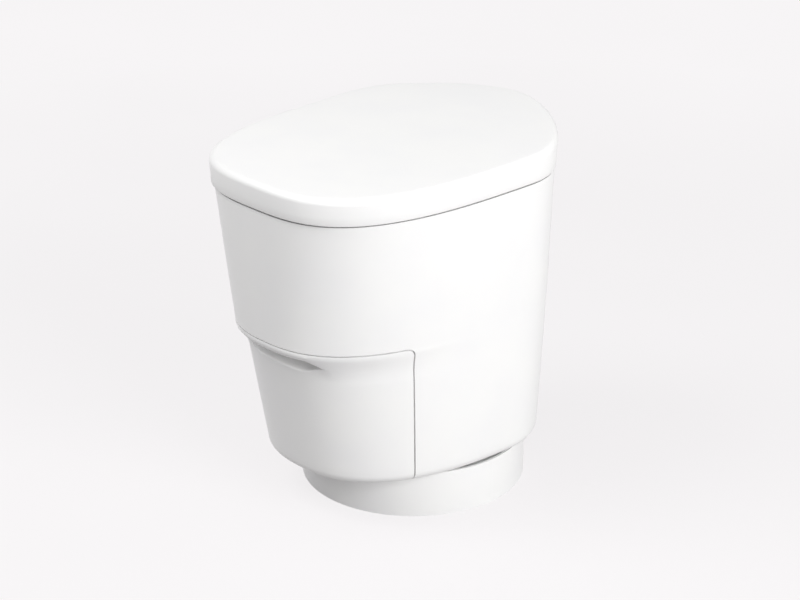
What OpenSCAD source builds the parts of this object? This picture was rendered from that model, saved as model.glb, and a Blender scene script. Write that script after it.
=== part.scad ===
// Waterless sealing toilet on a round swivel foot.
// Origin: centre of the foot on the floor. +Z up, the front of the toilet faces -Y.

/* [Outline] */
// Width of the lid, the widest piece
lid_width = 388; // [370:1:410]
// Reach of the lid from its widest line to the front
lid_front = 337; // [325:1:350]
// Reach of the lid from its widest line to the back
lid_back = 178; // [172:1:186]
// Distance of the widest line behind the swivel axis
shell_y = 38; // [34:1:42]
// Squareness of the lid's front end
lid_square = 3.1; // [2.8:0.1:3.4]
// Squareness of the lid's back end
lid_back_square = 1.68; // [1.66:0.02:1.8]
// Points around each outline
outline_points = 64; // [48:8:80]

/* [Lid] */
// Height of the lid's lower edge above the floor
lid_z = 487; // [480:1:495]
// Height of the lid's side
lid_h = 38; // [36:1:44]
// Rise of the lid's crown above its edge
lid_crown = 2.5; // [1:0.5:5]
// Radius of the lid's top edge
lid_edge_r = 9; // [7:0.5:12]
// Wall of the lid
lid_wall = 3.5; // [3:0.25:4]
// How much narrower the lid is at its lower edge
lid_draft = 1.5; // [0.5:0.25:3]
// Thickness of the lid's inner panel
panel_t = 3; // [2:0.5:4]
// Height of the panel's underside above the lid's lower edge
panel_rise = 24; // [22:0.5:26]
// How much higher the lid's top is at the back
lid_rise = 10.5; // [8:0.5:12]
// Where the lid's top starts to rise, in front of the swivel axis
lid_rise_y = 60; // [50:5:70]

/* [Housing] */
// Gap between the lid and the housing's rim
rim_gap = 3; // [2:0.5:4]
// Inset of the rim from the lid, all round
rim_inset = 4; // [3:0.5:6]
// Height of the seam over the drawer
seam_z = 287; // [284:1:290]
// Height of the housing's underside
floor_z = 70; // [68:1:74]
// Inset from the lid's outline to the side at the seam
seam_side_in = 15; // [13:0.5:17]
// Inset from the lid's outline to the front at the seam
seam_front_in = 16.5; // [15:0.5:19]
// Inset from the lid's outline to the back at the seam
seam_back_in = 13; // [11:0.5:14]
// Inset from the lid's outline to the side at the foot
foot_side_in = 25; // [23:0.5:27]
// Inset from the lid's outline to the back at the foot
foot_back_in = 34; // [32:0.5:35]
// Squareness of the front at the rim
rim_square = 3; // [2.8:0.05:3.2]
// Squareness of the front at the seam
seam_square = 2.51; // [2.45:0.01:2.6]
// Squareness of the front at the foot
foot_square = 2.4; // [2.35:0.01:2.5]
// Squareness of the back at the foot
foot_back_square = 1.9; // [1.85:0.05:2]
// Radius of the lower edge
foot_r = 15; // [12:1:18]
// Wall of the housing
wall = 3.5; // [3:0.25:4]
// Thickness of the housing's floor
floor_t = 4; // [3:0.5:5]
// Width of the ledges that carry the two decks
ledge_w = 7; // [6:0.5:9]
// Thickness of the ledges
ledge_t = 3.5; // [3:0.5:4]

/* [Drawer front] */
// Distance of the upright seam's top in front of the swivel axis
seam_y = 148; // [144:1:152]
// How far the upright seam leans back on its way down to the housing's underside
seam_lean = 17; // [15:1:18]
// Radius of the seam's corner
seam_corner_r = 13; // [10:1:16]
// Width of the seam
seam_gap = 2; // [1.6:0.1:2.5]
// Height at which the front wall starts to flare out to the seam
flare_z = 238; // [234:1:242]
// Inset from the lid's outline to the front wall below the flare
knee_front_in = 42; // [40:0.5:45]
// Inset from the lid's outline to the front wall at the foot
foot_front_in = 73; // [71:0.5:75]
// Squareness of the front wall below the flare
knee_square = 2.5; // [2.45:0.01:2.6]
// Distance of the finger lip's tips from the centre
lip_half = 80; // [74:1:86]
// Height of the finger lip
lip_h = 12.5; // [11:0.5:15]
// Depth of the finger pocket behind the front wall
pocket_depth = 17; // [13:1:19]
// How far the lip's edge dips at its two tips
tip_dip = 18; // [12:1:20]

/* [Swivel foot] */
// Radius of the foot
foot_ring_r = 164; // [160:1:168]
// Wall of the foot
foot_wall = 4; // [3:0.5:5]
// Gap between the foot's rim and the housing
foot_gap = 2; // [1.5:0.5:3]
// Thickness of the foot's web
web_t = 5; // [4:0.5:6]
// Height of the web's upper face
web_z = 62; // [60:0.5:63]
// Inner radius of the floor flange
flange_r = 120; // [110:1:125]
// Thickness of the floor flange
flange_t = 5; // [4:0.5:6]
// Radius of the bolt circle in the floor flange
bolt_circle_r = 140; // [136:1:144]
// Radius of the bolt holes
bolt_hole_r = 3; // [2.5:0.25:3.5]
// Radius of the access holes above the bolts
access_r = 11; // [9:0.5:12]
// Radius of the swivel bore
swivel_r = 22; // [18:0.5:25]
// Radius of the boss around the swivel bore
boss_r = 32; // [30:0.5:34]
// Depth of the boss under the web
boss_h = 12; // [8:1:16]
// Inner radius of the glide ring
glide_in_r = 60; // [56:1:64]
// Outer radius of the glide ring
glide_out_r = 75; // [72:1:78]
// Bore through the hub for the leads
hub_bore_r = 10; // [8:0.5:12]
// Radius of the hub's flange
hub_flange_r = 80; // [78:1:84]
// Radius of the hub's spigot in the housing floor
hub_top_r = 30; // [28:0.5:34]

/* [Seat and hinge] */
// Height of the top deck's upper face
deck_z = 470; // [468:0.5:472]
// Thickness of the decks
deck_t = 4; // [3:0.5:5]
// Height of the seat's underside over the deck
seat_lift = 7; // [6:0.5:8]
// Thickness of the seat
seat_t = 22; // [20:0.5:24]
// Half width of the seat
seat_half = 170; // [164:1:174]
// Reach of the seat in front of the widest line
seat_front = 313; // [308:1:316]
// Reach of the seat behind the widest line
seat_back = 88; // [84:1:90]
// Half width of the bowl opening
bowl_half_x = 98; // [94:1:100]
// Half length of the bowl opening
bowl_half_y = 133; // [128:1:136]
// Centre of the bowl opening in front of the swivel axis
bowl_y = 62; // [58:1:64]
// Distance of the hinge pin behind the swivel axis
hinge_y = 185; // [184:0.5:186]
// Height of the hinge pin
hinge_z = 452; // [451:0.5:453]
// Radius of the hinge pin
pin_r = 4; // [3:0.25:5]
// Running clearance of shafts in their bores
run_clear = 0.05; // [0.02:0.01:0.09]
// Width of each hinge arm
arm_w = 8; // [6:0.5:9]
// Height of each hinge arm
arm_h = 10; // [9:0.5:11]
// Reach of the seat's arms in front of the pin
seat_arm_reach = 52; // [50:0.5:53]
// Reach of the lid's arms in front of the pin
lid_arm_reach = 42; // [41:0.5:43]
// Length of the arms' feet
arm_foot = 36; // [30:1:40]

/* [Liner] */
// Width of the cartridge's channel
channel_w = 14; // [12:0.5:16]
// Depth of the cartridge under the deck
cartridge_h = 30; // [26:1:34]
// Wall of the cartridge, its cap and the funnel
thin_wall = 2; // [1.6:0.1:2.4]
// Height of the funnel's lower end
funnel_z = 364; // [362:1:366]
// Thickness of the hanging film in this model
film_t = 0.8; // [0.6:0.1:1]
// Height of the film bag's lowest point
film_z = 384; // [378:1:392]

/* [Sealing unit] */
// Room between the lid's front end and the jaws
jaw_front_room = 119; // [117:1:123]
// Room between the jaws and the lid's back end
jaw_back_room = 96; // [94:1:100]
// Room between the lid's side and an open jaw
jaw_side_room = 119; // [117:1:122]
// Room between the lid's side and the end of the jaws' frame
frame_side_room = 82; // [80:1:84]
// Height of the jaws' centre line
jaw_z = 347; // [347:0.5:348]
// Height of a jaw beam
jaw_h = 24; // [20:1:26]
// Thickness of a jaw beam
jaw_t = 16; // [12:1:18]
// Thickness of the heater bar and of the pad
face_t = 3; // [2:0.5:4]
// Film gap that stays between the closed jaws
jaw_gap = 0.6; // [0.4:0.1:1]
// Radius of the guide rods
rod_r = 5; // [4:0.25:6]
// Radius of the pinions at the pitch line
pinion_r = 18; // [18:1.5:19.5]
// Tooth module of racks and pinions
tooth_m = 1.5; // [1.5:0.5:1.5]
// Free play between teeth
backlash = 0.2; // [0.15:0.01:0.25]
// Radius of the feed rollers
roller_r = 9.8; // [9.6:0.05:9.85]
// Height of the feed rollers
roller_z = 308; // [307.5:0.5:308]
// Teeth of each roller gear
roller_teeth = 20; // [20:1:20]
// Radius of the jaw motor
motor_r = 18.5; // [16:0.5:19]
// Length of the jaw motor
motor_l = 42; // [36:1:44]
// Radius of the feed motor
feed_motor_r = 12; // [10:0.5:12]

/* [Electronics] */
// Room between the lid's side and the control board
board_room = 48; // [46:1:50]
// Length of the control board
board_l = 116; // [100:1:124]
// Height of the control board
board_h = 74; // [66:1:76]

/* [Drawer and bin] */
// Travel of the drawer
drawer_travel = 225; // [210:5:235]
// Spacing of the drawer rails from the centre
rail_x = 104; // [100:1:110]
// Half width of a rail
rail_half = 9; // [8:0.5:10]
// Height of a rail
rail_h = 14; // [13:0.5:15]
// Thickness of the tray
tray_t = 2.5; // [2:0.25:3]
// Room between the lid's side and the bin's rim
bin_side_room = 56; // [54:1:60]
// Room between the lid's front end and the bin's rim
bin_front_room = 83; // [81:1:88]
// Room between the bin's rim and the lid's back end
bin_back_room = 120; // [114:1:124]
// Height of the bin
bin_h = 176; // [168:1:180]
// Wall of the bin
bin_wall = 2.5; // [2:0.25:3]

/* [Hidden] */
$fn = 64;

// Clearance between pieces that rest or fit against each other
seat_clear = 0.3;
// Length added to cutters so that they pass right through
over = 1;
half_w = lid_width / 2;
jaws_front = shell_y - lid_front + jaw_front_room;
jaws_back = shell_y + lid_back - jaw_back_room;
unit_y = -(jaws_front + jaws_back) / 2;
jaw_half = (jaws_back - jaws_front) / 2;
jaw_open = half_w - jaw_side_room;
frame_half = half_w - frame_side_room;
bin_half = half_w - bin_side_room;
bin_front = shell_y - lid_front + bin_front_room;
bin_back = shell_y + lid_back - bin_back_room;
bin_half_l = (bin_back - bin_front) / 2;
bin_y = (bin_back + bin_front) / 2;
rim_z = lid_z - rim_gap;
lid_top = lid_z + lid_h + lid_crown;
gear_angle = 20;
jaw_stroke = jaw_open - face_t - jaw_gap / 2;
middle_z = seam_z + seam_gap / 2 + ledge_t + 0.5;
middle_top = middle_z + deck_t;
deck_under = deck_z - deck_t;
floor_top = floor_z + floor_t;
foot_rim_z = floor_z - foot_gap;
hub_z = floor_z - (floor_z - web_z) / 2;
white = [0.95, 0.95, 0.95];
grey = [0.72, 0.73, 0.75];
dark = [0.2, 0.2, 0.22];
steel = [0.75, 0.76, 0.78];

function mix(a, b, t) = a + (b - a) * t;
function ramp(z, low, high) = min(1, max(0, (z - low) / (high - low)));
function smooth(t) = t * t * (3 - 2 * t);
function bend(c, n) = sign(c) * pow(abs(c), 2 / n);

// Half width, reaches and squareness of the housing's skin at height z
function skin_side(z) = half_w - (z > seam_z
  ? mix(seam_side_in, rim_inset, ramp(z, seam_z, rim_z))
  : mix(foot_side_in, seam_side_in, ramp(z, floor_z, seam_z)));
function skin_back(z) = lid_back - (z > seam_z
  ? mix(seam_back_in, rim_inset, ramp(z, seam_z, rim_z))
  : mix(foot_back_in, seam_back_in, ramp(z, floor_z, seam_z)));
function upper_front(z) = lid_front - mix(seam_front_in, rim_inset, ramp(z, seam_z, rim_z));
function lower_front(z) = lid_front - mix(foot_front_in, knee_front_in, ramp(z, floor_z, flare_z));
function flare(z) = pow(ramp(z, flare_z, seam_z - lip_h / 2), 2.4);
function skin_front(z) = z > seam_z ? upper_front(z)
  : mix(lower_front(z), upper_front(seam_z), flare(z));
function skin_square(z) = z > seam_z
  ? mix(seam_square, rim_square, ramp(z, seam_z, rim_z))
  : z > flare_z ? mix(knee_square, seam_square, flare(z))
  : mix(foot_square, knee_square, ramp(z, floor_z, flare_z));
function back_square(z) = mix(foot_back_square, lid_back_square, ramp(z, floor_z, rim_z));

// A narrowing back half starts as a plain ellipse, so that the sides pass into it smoothly
function back_bend(a, n) = n < 2 ? mix(2, n, smooth(ramp(sin(a), 0, 0.8))) : n;
// Outline with a front half and a back half that share the widest line; soft 0 leaves the back
// half with one exponent all the way
function outline(side, front, back, nf, nb, z, soft = 1) = [for (i = [0:outline_points - 1])
  let (a = 360 * i / outline_points, n = sin(a) < 0 ? nf : soft > 0 ? back_bend(a, nb) : nb,
    reach = sin(a) < 0 ? front : back)
  [side * bend(cos(a), n), shell_y + reach * bend(sin(a), n), z]];
function skin(z, inset) = outline(skin_side(z) - inset, skin_front(z) - inset,
  skin_back(z) - inset, skin_square(z), back_square(z), z);
function oval(half_x, half_y, y, z) = [for (i = [0:outline_points - 1])
  let (a = 360 * i / outline_points) [half_x * cos(a), half_y * sin(a) + y, z]];
function lid_ring(inset, z) = outline(half_w - inset, lid_front - inset, lid_back - inset,
  lid_square, lid_back_square, z, 0);
function raised(ring) = [for (p = ring)
  [p[0], p[1], p[2] + lid_rise * pow(ramp(p[1], -lid_rise_y, shell_y + lid_back), 2)]];
function flat(ring) = [for (p = ring) [p[0], p[1]]];

// Walls between rings of equal length, listed from the first to the last
function bands(n, count) = [for (k = [0:count - 2]) for (i = [0:n - 1])
  let (j = (i + 1) % n, a = k * n)
  each [[a + i, a + n + i, a + n + j], [a + i, a + n + j, a + j]]];

// Closed solid through rings, with a flat end on the first and on the last
module loft(rings) {
  n = len(rings[0]);
  count = len(rings);
  polyhedron(points = [for (r = rings) each r],
    faces = concat([[for (i = [0:n - 1]) i]], bands(n, count),
      [[for (i = [n - 1:-1:0]) (count - 1) * n + i]]));
}

// Strips from side to side that close a ring, so that the end may rise towards the back
function strips(n) = [for (i = [-n / 4:n / 4 - 1])
  let (a = (i + n) % n, b = (i + n + 1) % n, c = (n / 2 - i - 1) % n, d = (n / 2 - i) % n)
  a == d ? [a, b, c] : b == c ? [a, b, d] : [a, b, c, d]];
module strip_loft(rings) {
  n = len(rings[0]);
  count = len(rings);
  last = [for (s = strips(n)) [for (i = [len(s) - 1:-1:0]) (count - 1) * n + s[i]]];
  polyhedron(points = [for (r = rings) each r], faces = concat(strips(n), bands(n, count), last));
}

// Ring-shaped solid through rings, where the last one meets the first
module loft_loop(rings) {
  n = len(rings[0]);
  count = len(rings);
  closing = [for (i = [0:n - 1]) let (j = (i + 1) % n, a = (count - 1) * n)
    each [[a + i, i, j], [a + i, j, a + j]]];
  polyhedron(points = [for (r = rings) each r], faces = concat(bands(n, count), closing));
}

// Flat plate with the outline of a ring
module plate(ring, z, t) {
  translate([0, 0, z]) linear_extrude(t) polygon(flat(ring));
}

// Cylinders along X and Y, and a box between two corners
module rod_x(r, x0, x1, y, z) {
  translate([x0, y, z]) rotate([0, 90, 0]) cylinder(r = r, h = x1 - x0);
}
module rod_y(r, y0, y1, x, z) {
  translate([x, y0, z]) rotate([-90, 0, 0]) cylinder(r = r, h = y1 - y0);
}
module block(low, high) {
  translate(low) cube(high - low);
}
module tube_z(r_out, r_in, z0, z1) {
  rotate_extrude() translate([r_in, z0]) square([r_out - r_in, z1 - z0]);
}
module both_sides() {
  children();
  mirror([1, 0, 0]) children();
}

// Swivel foot
module foot_ring() {
  color(white) difference() {
    rotate_extrude() union() {
      translate([foot_ring_r - foot_wall, 0]) square([foot_wall, foot_rim_z]);
      translate([flange_r, 0]) square([foot_ring_r - flange_r - foot_wall / 2, flange_t]);
      translate([swivel_r, web_z - web_t])
        square([foot_ring_r - swivel_r - foot_wall / 2, web_t]);
      translate([swivel_r, web_z - web_t - boss_h]) square([boss_r - swivel_r, boss_h + over]);
    }
    for (a = [45:90:315]) rotate(a) translate([bolt_circle_r, 0, 0]) {
      translate([0, 0, -over]) cylinder(r = bolt_hole_r, h = flange_t + 2 * over);
      translate([0, 0, web_z - web_t - over]) cylinder(r = access_r, h = web_t + 2 * over);
    }
  }
}

module glide_ring() {
  color(grey) tube_z(glide_out_r, glide_in_r, web_z, hub_z);
}

seat_arm_x = 28;
lid_arm_x = seat_arm_x + arm_w + 4;

// The hub's screws stand between the spigot and the glide ring
hub_screw_r = (hub_top_r + glide_in_r) / 2;
screw_r = 2.5;
module at_hub_screws() {
  for (a = [0:90:270]) rotate(a) translate([hub_screw_r, 0, 0]) children();
}

module swivel_hub() {
  spigot_low = web_z - web_t - boss_h - 10;
  color(grey) difference() {
    rotate_extrude() union() {
      translate([hub_bore_r, hub_z]) square([hub_flange_r - hub_bore_r, floor_z - hub_z]);
      translate([hub_bore_r, floor_z - over]) square([hub_top_r - hub_bore_r, floor_t + over]);
      translate([hub_bore_r, spigot_low])
        square([swivel_r - run_clear - hub_bore_r, hub_z - spigot_low + over]);
    }
    at_hub_screws() translate([0, 0, hub_z - over])
      cylinder(r = screw_r, h = floor_z - hub_z + 2 * over);
  }
}

retainer_h = 5;
module hub_retainer() {
  top = web_z - web_t - boss_h - seat_clear;
  color(steel) tube_z(boss_r, swivel_r - run_clear, top - retainer_h, top);
}

screw_head_r = 4.5;
screw_head_h = 2.5;
module hub_screws() {
  color(steel) at_hub_screws() {
    translate([0, 0, hub_z]) cylinder(r = screw_r, h = floor_top - hub_z);
    translate([0, 0, floor_top]) cylinder(r = screw_head_r, h = screw_head_h);
  }
}

// Side view of the drawer's share of the skin: everything in front of the leaning seam
// and under the level one, grown by g
lean = atan(seam_lean / (seam_z - floor_z));
seam_reach = seam_z * sin(lean) - seam_y * cos(lean);
corner_z = seam_z - seam_corner_r;
corner_y = (seam_reach - seam_corner_r - corner_z * sin(lean)) / cos(lean);
module drawer_zone(g) {
  reach = lid_front + over;
  r = seam_corner_r + g;
  rotate([90, 0, 90]) linear_extrude(lid_width, center = true) union() {
    polygon([[-reach, -over], [(seam_reach + g + over * sin(lean)) / cos(lean), -over],
      [corner_y + r * cos(lean), corner_z + r * sin(lean)], [corner_y, corner_z + r],
      [-reach, corner_z + r]]);
    translate([corner_y, corner_z]) circle(r);
  }
}

// Level insets of the rounded lower edge
function fillet(phi) = foot_r * (1 - sin(phi));
function fillet_z(phi) = floor_z + foot_r * (1 - cos(phi));
foot_rings = [for (phi = [0:22.5:90]) skin(fillet_z(phi), fillet(phi))];
lip_z = seam_z - lip_h;
wall_levels = [120, 180, flare_z, flare_z + 14, flare_z + 26, lip_z, lip_z + 6, seam_z];
upper_levels = [seam_z + 45, seam_z + 95, seam_z + 145, rim_z];

function ledge_rings(z) = [skin(z - ledge_t, wall), skin(z - ledge_t, wall + ledge_w),
  skin(z, wall + ledge_w), skin(z, wall)];

deck_screw_spots = [for (a = [-60, -15, 25, 155, 195, 240])
  let (in = wall + 0.56 * ledge_w, z = deck_under,
    n = sin(a) < 0 ? skin_square(z) : back_bend(a, back_square(z)),
    reach = sin(a) < 0 ? skin_front(z) : skin_back(z))
  [(skin_side(z) - in) * bend(cos(a), n), shell_y + (reach - in) * bend(sin(a), n)]];
deck_screw_r = 1.75;
deck_head_r = 3;
deck_head_h = 2;

inlet_x = 45;
inlet_z = 112;
inlet_r = 9;
inlet_flange_r = 11;
function back_y(x, z, inset) = shell_y + (skin_back(z) - inset)
  * pow(1 - pow(abs(x) / (skin_side(z) - inset), back_square(z)), 1 / back_square(z));
inlet_y = back_y(inlet_x - inlet_flange_r, inlet_z, 0);

module housing() {
  inside = concat([skin(rim_z, wall)], [for (i = [3:-1:0]) ledge_rings(deck_under)[i]],
    [for (i = [3:-1:0]) ledge_rings(middle_z)[i]],
    [skin(seam_z - ledge_t, wall), skin(flare_z, wall), skin(floor_z + foot_r, wall),
      skin(floor_top, foot_r)]);
  color(white) difference() {
    loft(concat(foot_rings, [for (z = wall_levels) skin(z, 0)],
      [for (z = upper_levels) skin(z, 0)], inside));
    drawer_zone(seam_gap / 2);
    translate([0, 0, floor_z - over]) cylinder(r = hub_top_r, h = floor_t + 2 * over);
    at_hub_screws() translate([0, 0, floor_z - over])
      cylinder(r = screw_r, h = floor_t + 2 * over);
    for (p = deck_screw_spots) translate([p[0], p[1], deck_under - ledge_t - over])
      cylinder(r = deck_screw_r, h = ledge_t + 2 * over);
    rod_y(inlet_r, inlet_y - 30, inlet_y + over, inlet_x, inlet_z);
  }
}

// Decks on the housing's ledges
drop_half_x = 50;
drop_half_y = jaw_half - 4;
module middle_deck() {
  color(grey) difference() {
    plate(skin(middle_z, wall + seat_clear), middle_z, deck_t);
    translate([0, -unit_y, middle_z + deck_t / 2])
      cube([2 * drop_half_x, 2 * drop_half_y, deck_t + 2 * over], center = true);
  }
}

slot_half_x = lid_arm_x + arm_w + 3;
slot_front_y = hinge_y - 67;
slot_back_y = hinge_y + 7;
cartridge_x = bowl_half_x + channel_w;
cartridge_y = bowl_half_y + channel_w;
module top_deck() {
  color(white) difference() {
    plate(skin(deck_under, wall + seat_clear), deck_under, deck_t);
    plate(oval(cartridge_x + over, cartridge_y + over, -bowl_y, 0), deck_under - over,
      deck_t + 2 * over);
    block([-slot_half_x, slot_front_y, deck_under - over],
      [slot_half_x, slot_back_y, deck_z + over]);
    for (p = deck_screw_spots) translate([p[0], p[1], deck_under - over])
      cylinder(r = deck_screw_r, h = deck_t + 2 * over);
    for (s = [-1, 1]) for (y = hinge_screw_ys) translate([s * hinge_screw_x, y, deck_under - over])
      cylinder(r = deck_screw_r, h = deck_t + 2 * over);
  }
}

hinge_screw_x = 64;
hinge_screw_ys = [hinge_y - 28, hinge_y - 14];
module deck_screws() {
  spots = concat([for (p = deck_screw_spots) [p[0], p[1], ledge_t]],
    [for (s = [-1, 1]) for (y = hinge_screw_ys) [s * hinge_screw_x, y, bracket_t]]);
  color(steel) for (p = spots) translate([p[0], p[1], 0]) {
    translate([0, 0, deck_under - p[2]]) cylinder(r = deck_screw_r, h = deck_t + p[2]);
    translate([0, 0, deck_z]) cylinder(r = deck_head_r, h = deck_head_h);
  }
}

// Liner: cartridge in the deck, film pack in it, cap over it, and the hanging film bag
rim_out = 10;
funnel_in = 4;
module bowl_funnel() {
  cy = cartridge_y + funnel_in;
  cx = cartridge_x + funnel_in;
  knee = deck_z - cartridge_h - 4 * thin_wall;
  low_x = jaw_open - face_t - 2;
  low_y = jaw_half - 8;
  color(grey) loft_loop([
    oval(low_x - thin_wall, low_y - thin_wall, -unit_y, funnel_z),
    oval(low_x, low_y, -unit_y, funnel_z),
    oval(mix(low_x, cx, 0.5), mix(low_y, cy, 0.5), -mix(unit_y, bowl_y, 0.5),
      mix(funnel_z, knee, 0.4)),
    oval(cx, cy, -bowl_y, knee),
    oval(cx, cy, -bowl_y, deck_under - thin_wall),
    oval(cx + rim_out, cy + rim_out, -bowl_y, deck_under - thin_wall),
    oval(cx + rim_out, cy + rim_out, -bowl_y, deck_under),
    oval(cx - thin_wall, cy - thin_wall, -bowl_y, deck_under),
    oval(cx - thin_wall, cy - thin_wall, -bowl_y, knee),
    oval(mix(low_x, cx, 0.5) - thin_wall, mix(low_y, cy, 0.5) - thin_wall,
      -mix(unit_y, bowl_y, 0.5), mix(funnel_z, knee, 0.4) + thin_wall)]);
}

cartridge_low = deck_z - cartridge_h;
module liner_cartridge() {
  color(grey) difference() {
    union() {
      plate(oval(cartridge_x, cartridge_y, -bowl_y, 0), cartridge_low, cartridge_h);
      plate(oval(cartridge_x + rim_out, cartridge_y + rim_out, -bowl_y, 0), deck_z, thin_wall);
    }
    plate(oval(cartridge_x - thin_wall, cartridge_y - thin_wall, -bowl_y, 0),
      cartridge_low + thin_wall, cartridge_h + over);
    plate(oval(bowl_half_x, bowl_half_y, -bowl_y, 0), cartridge_low - over,
      cartridge_h + 2 * over);
  }
}

pack_gap = 0.5;
module film_pack() {
  out = thin_wall + pack_gap;
  color("white") difference() {
    plate(oval(cartridge_x - out, cartridge_y - out, -bowl_y, 0),
      cartridge_low + thin_wall + seat_clear, cartridge_h - 2 * thin_wall - seat_clear);
    plate(oval(bowl_half_x + out, bowl_half_y + out, -bowl_y, 0), cartridge_low,
      cartridge_h + over);
  }
}

cap_t = 2.5;
module cartridge_cap() {
  top = deck_z + thin_wall;
  color(grey) difference() {
    union() {
      plate(oval(cartridge_x + rim_out / 2, cartridge_y + rim_out / 2, -bowl_y, 0), top, cap_t);
      plate(oval(bowl_half_x + thin_wall, bowl_half_y + thin_wall, -bowl_y, 0),
        cartridge_low + thin_wall, cartridge_h + over);
    }
    plate(oval(bowl_half_x, bowl_half_y, -bowl_y, 0), cartridge_low - over,
      cartridge_h + 4 * thin_wall);
  }
}

// Share of the bowl's size and of the bag's depth, from the top down
film_levels = [[1, 0], [0.985, 0.2], [0.93, 0.45], [0.84, 0.68], [0.68, 0.87], [0.45, 0.97]];
module liner_film() {
  top = deck_z + thin_wall;
  drop = top - film_z;
  outer = [for (i = [len(film_levels) - 1:-1:0]) let (f = film_levels[i])
    oval((bowl_half_x - seat_clear) * f[0], (bowl_half_y - seat_clear) * f[0],
      -mix(unit_y, bowl_y, f[0]), top - drop * f[1])];
  inner = [for (f = film_levels)
    oval((bowl_half_x - seat_clear) * f[0] - film_t, (bowl_half_y - seat_clear) * f[0] - film_t,
      -mix(unit_y, bowl_y, f[0]), top - drop * f[1] + film_t * f[1])];
  color("white") loft(concat(outer, inner));
}

// Sealing unit: places along Y are measured from its centre
block_end = jaw_half + 14;
rod_y_at = jaw_half + 7;
rack_y0 = block_end + 2;
rack_y1 = rack_y0 + 6;
frame_y0 = rack_y1 + 3;
frame_t = 3;
frame_y1 = frame_y0 + frame_t;
ear_w = 6;
rack_back = 6.4;
rack_root = 1.25 * tooth_m;
lug_out = pinion_r + rack_root + rack_back;
shaft_r = 4;
bush_r = 6;
spindle_r = 3;
pinion_teeth = 2 * pinion_r / tooth_m;
roller_pitch = 10;
block_w = 24;

// A pair of like pieces at the unit's front and rear ends
module both_ends() {
  translate([0, -unit_y, 0]) {
    children();
    mirror([0, 1, 0]) children();
  }
}

module seal_frame() {
  difference() {
    union() {
      block([-frame_half, frame_y0, middle_top], [frame_half, frame_y1, jaw_z + lug_out + 2]);
      for (x = [-frame_half, frame_half - ear_w])
        block([x, rod_y_at - 8, jaw_z - 10], [x + ear_w, frame_y0 + over, jaw_z + 10]);
      block([-frame_half + 30, frame_y1 - over, middle_top],
        [-20, frame_y1 + 12, middle_top + frame_t]);
      block([30, frame_y1 - over, middle_top],
        [frame_half - 30, frame_y1 + 12, middle_top + frame_t]);
    }
    rod_x(rod_r, -frame_half - over, frame_half + over, rod_y_at, jaw_z);
    rod_y(bush_r, frame_y0 - over, frame_y1 + over, 0, jaw_z);
    for (s = [-1, 1]) rod_y(spindle_r + run_clear, frame_y0 - over, frame_y1 + over,
      s * roller_pitch, roller_z);
  }
}
module seal_frame_rear() {
  color(steel) translate([0, -unit_y, 0]) seal_frame();
}
module seal_frame_front() {
  color(steel) translate([0, -unit_y, 0]) mirror([0, 1, 0]) seal_frame();
}

module guide_rods() {
  color(steel) both_ends() rod_x(rod_r, -frame_half, frame_half, rod_y_at, jaw_z);
}

// One jaw on the left, its lugs pointing up or down to its racks
module jaw(up) {
  low = up > 0 ? jaw_z : jaw_z - lug_out;
  high = up > 0 ? jaw_z + lug_out : jaw_z;
  difference() {
    union() {
      block([-jaw_open - jaw_t, -jaw_half, jaw_z - jaw_h / 2],
        [-jaw_open, jaw_half, jaw_z + jaw_h / 2]);
      for (m = [0, 1]) mirror([0, m, 0]) {
        block([-jaw_open - block_w, jaw_half - over, jaw_z - jaw_h / 2],
          [-jaw_open, block_end, jaw_z + jaw_h / 2]);
        block([-jaw_open - block_w, jaw_half, low], [-jaw_open - block_w / 2, rack_y0, high]);
      }
    }
    for (s = [-1, 1]) rod_x(rod_r + run_clear, -jaw_open - block_w - over, over - jaw_open,
      s * rod_y_at, jaw_z);
    for (m = [0, 1]) mirror([0, m, 0])
      block([-jaw_open - block_w - over, block_end, jaw_z - jaw_h / 2 - over],
        [over - jaw_open, rack_y0 + over, jaw_z + up * pinion_r * 0.6]);
  }
}
module jaw_left() {
  color(steel) translate([0, -unit_y, 0]) jaw(1);
}
module jaw_right() {
  color(steel) translate([0, -unit_y, 0]) rotate([0, 180, 0]) translate([0, 0, -2 * jaw_z]) jaw(1);
}
module jaw_pad() {
  color("salmon") translate([0, -unit_y, 0])
    block([-jaw_open, -jaw_half, jaw_z - 6], [face_t - jaw_open, jaw_half, jaw_z + 6]);
}
module heater_bar() {
  color("gold") translate([0, -unit_y, 0])
    block([jaw_open - face_t, -jaw_half, jaw_z - 6], [jaw_open, jaw_half, jaw_z + 6]);
}

// Involute spur gear, tooth centred on +X, and the straight rack that meshes with it
function involute(r, base) = sqrt(pow(r / base, 2) - 1) * 180 / PI - acos(base / r);
function gear_outline(m, teeth, play) = let (pitch = m * teeth / 2, base = pitch * cos(gear_angle),
    tip = pitch + m, root = pitch - 1.25 * m, half = 90 / teeth - play * 45 / (PI * pitch),
    start = max(base, root), radii = [for (t = [0:0.25:1]) mix(start + 0.001, tip, t)],
    flank = [for (r = radii) half + involute(pitch, base) - involute(r, base)])
  [for (k = [0:teeth - 1]) let (a = 360 * k / teeth)
    each concat([root * [cos(a - flank[0]), sin(a - flank[0])]],
      [for (i = [0:4]) radii[i] * [cos(a - flank[i]), sin(a - flank[i])]],
      [for (i = [4:-1:0]) radii[i] * [cos(a + flank[i]), sin(a + flank[i])]],
      [root * [cos(a + flank[0]), sin(a + flank[0])]])];

module gear_y(m, teeth, y0, y1, x, z) {
  translate([x, y1, z]) rotate([90, 0, 0]) linear_extrude(y1 - y0)
    polygon(gear_outline(m, teeth, backlash));
}

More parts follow.
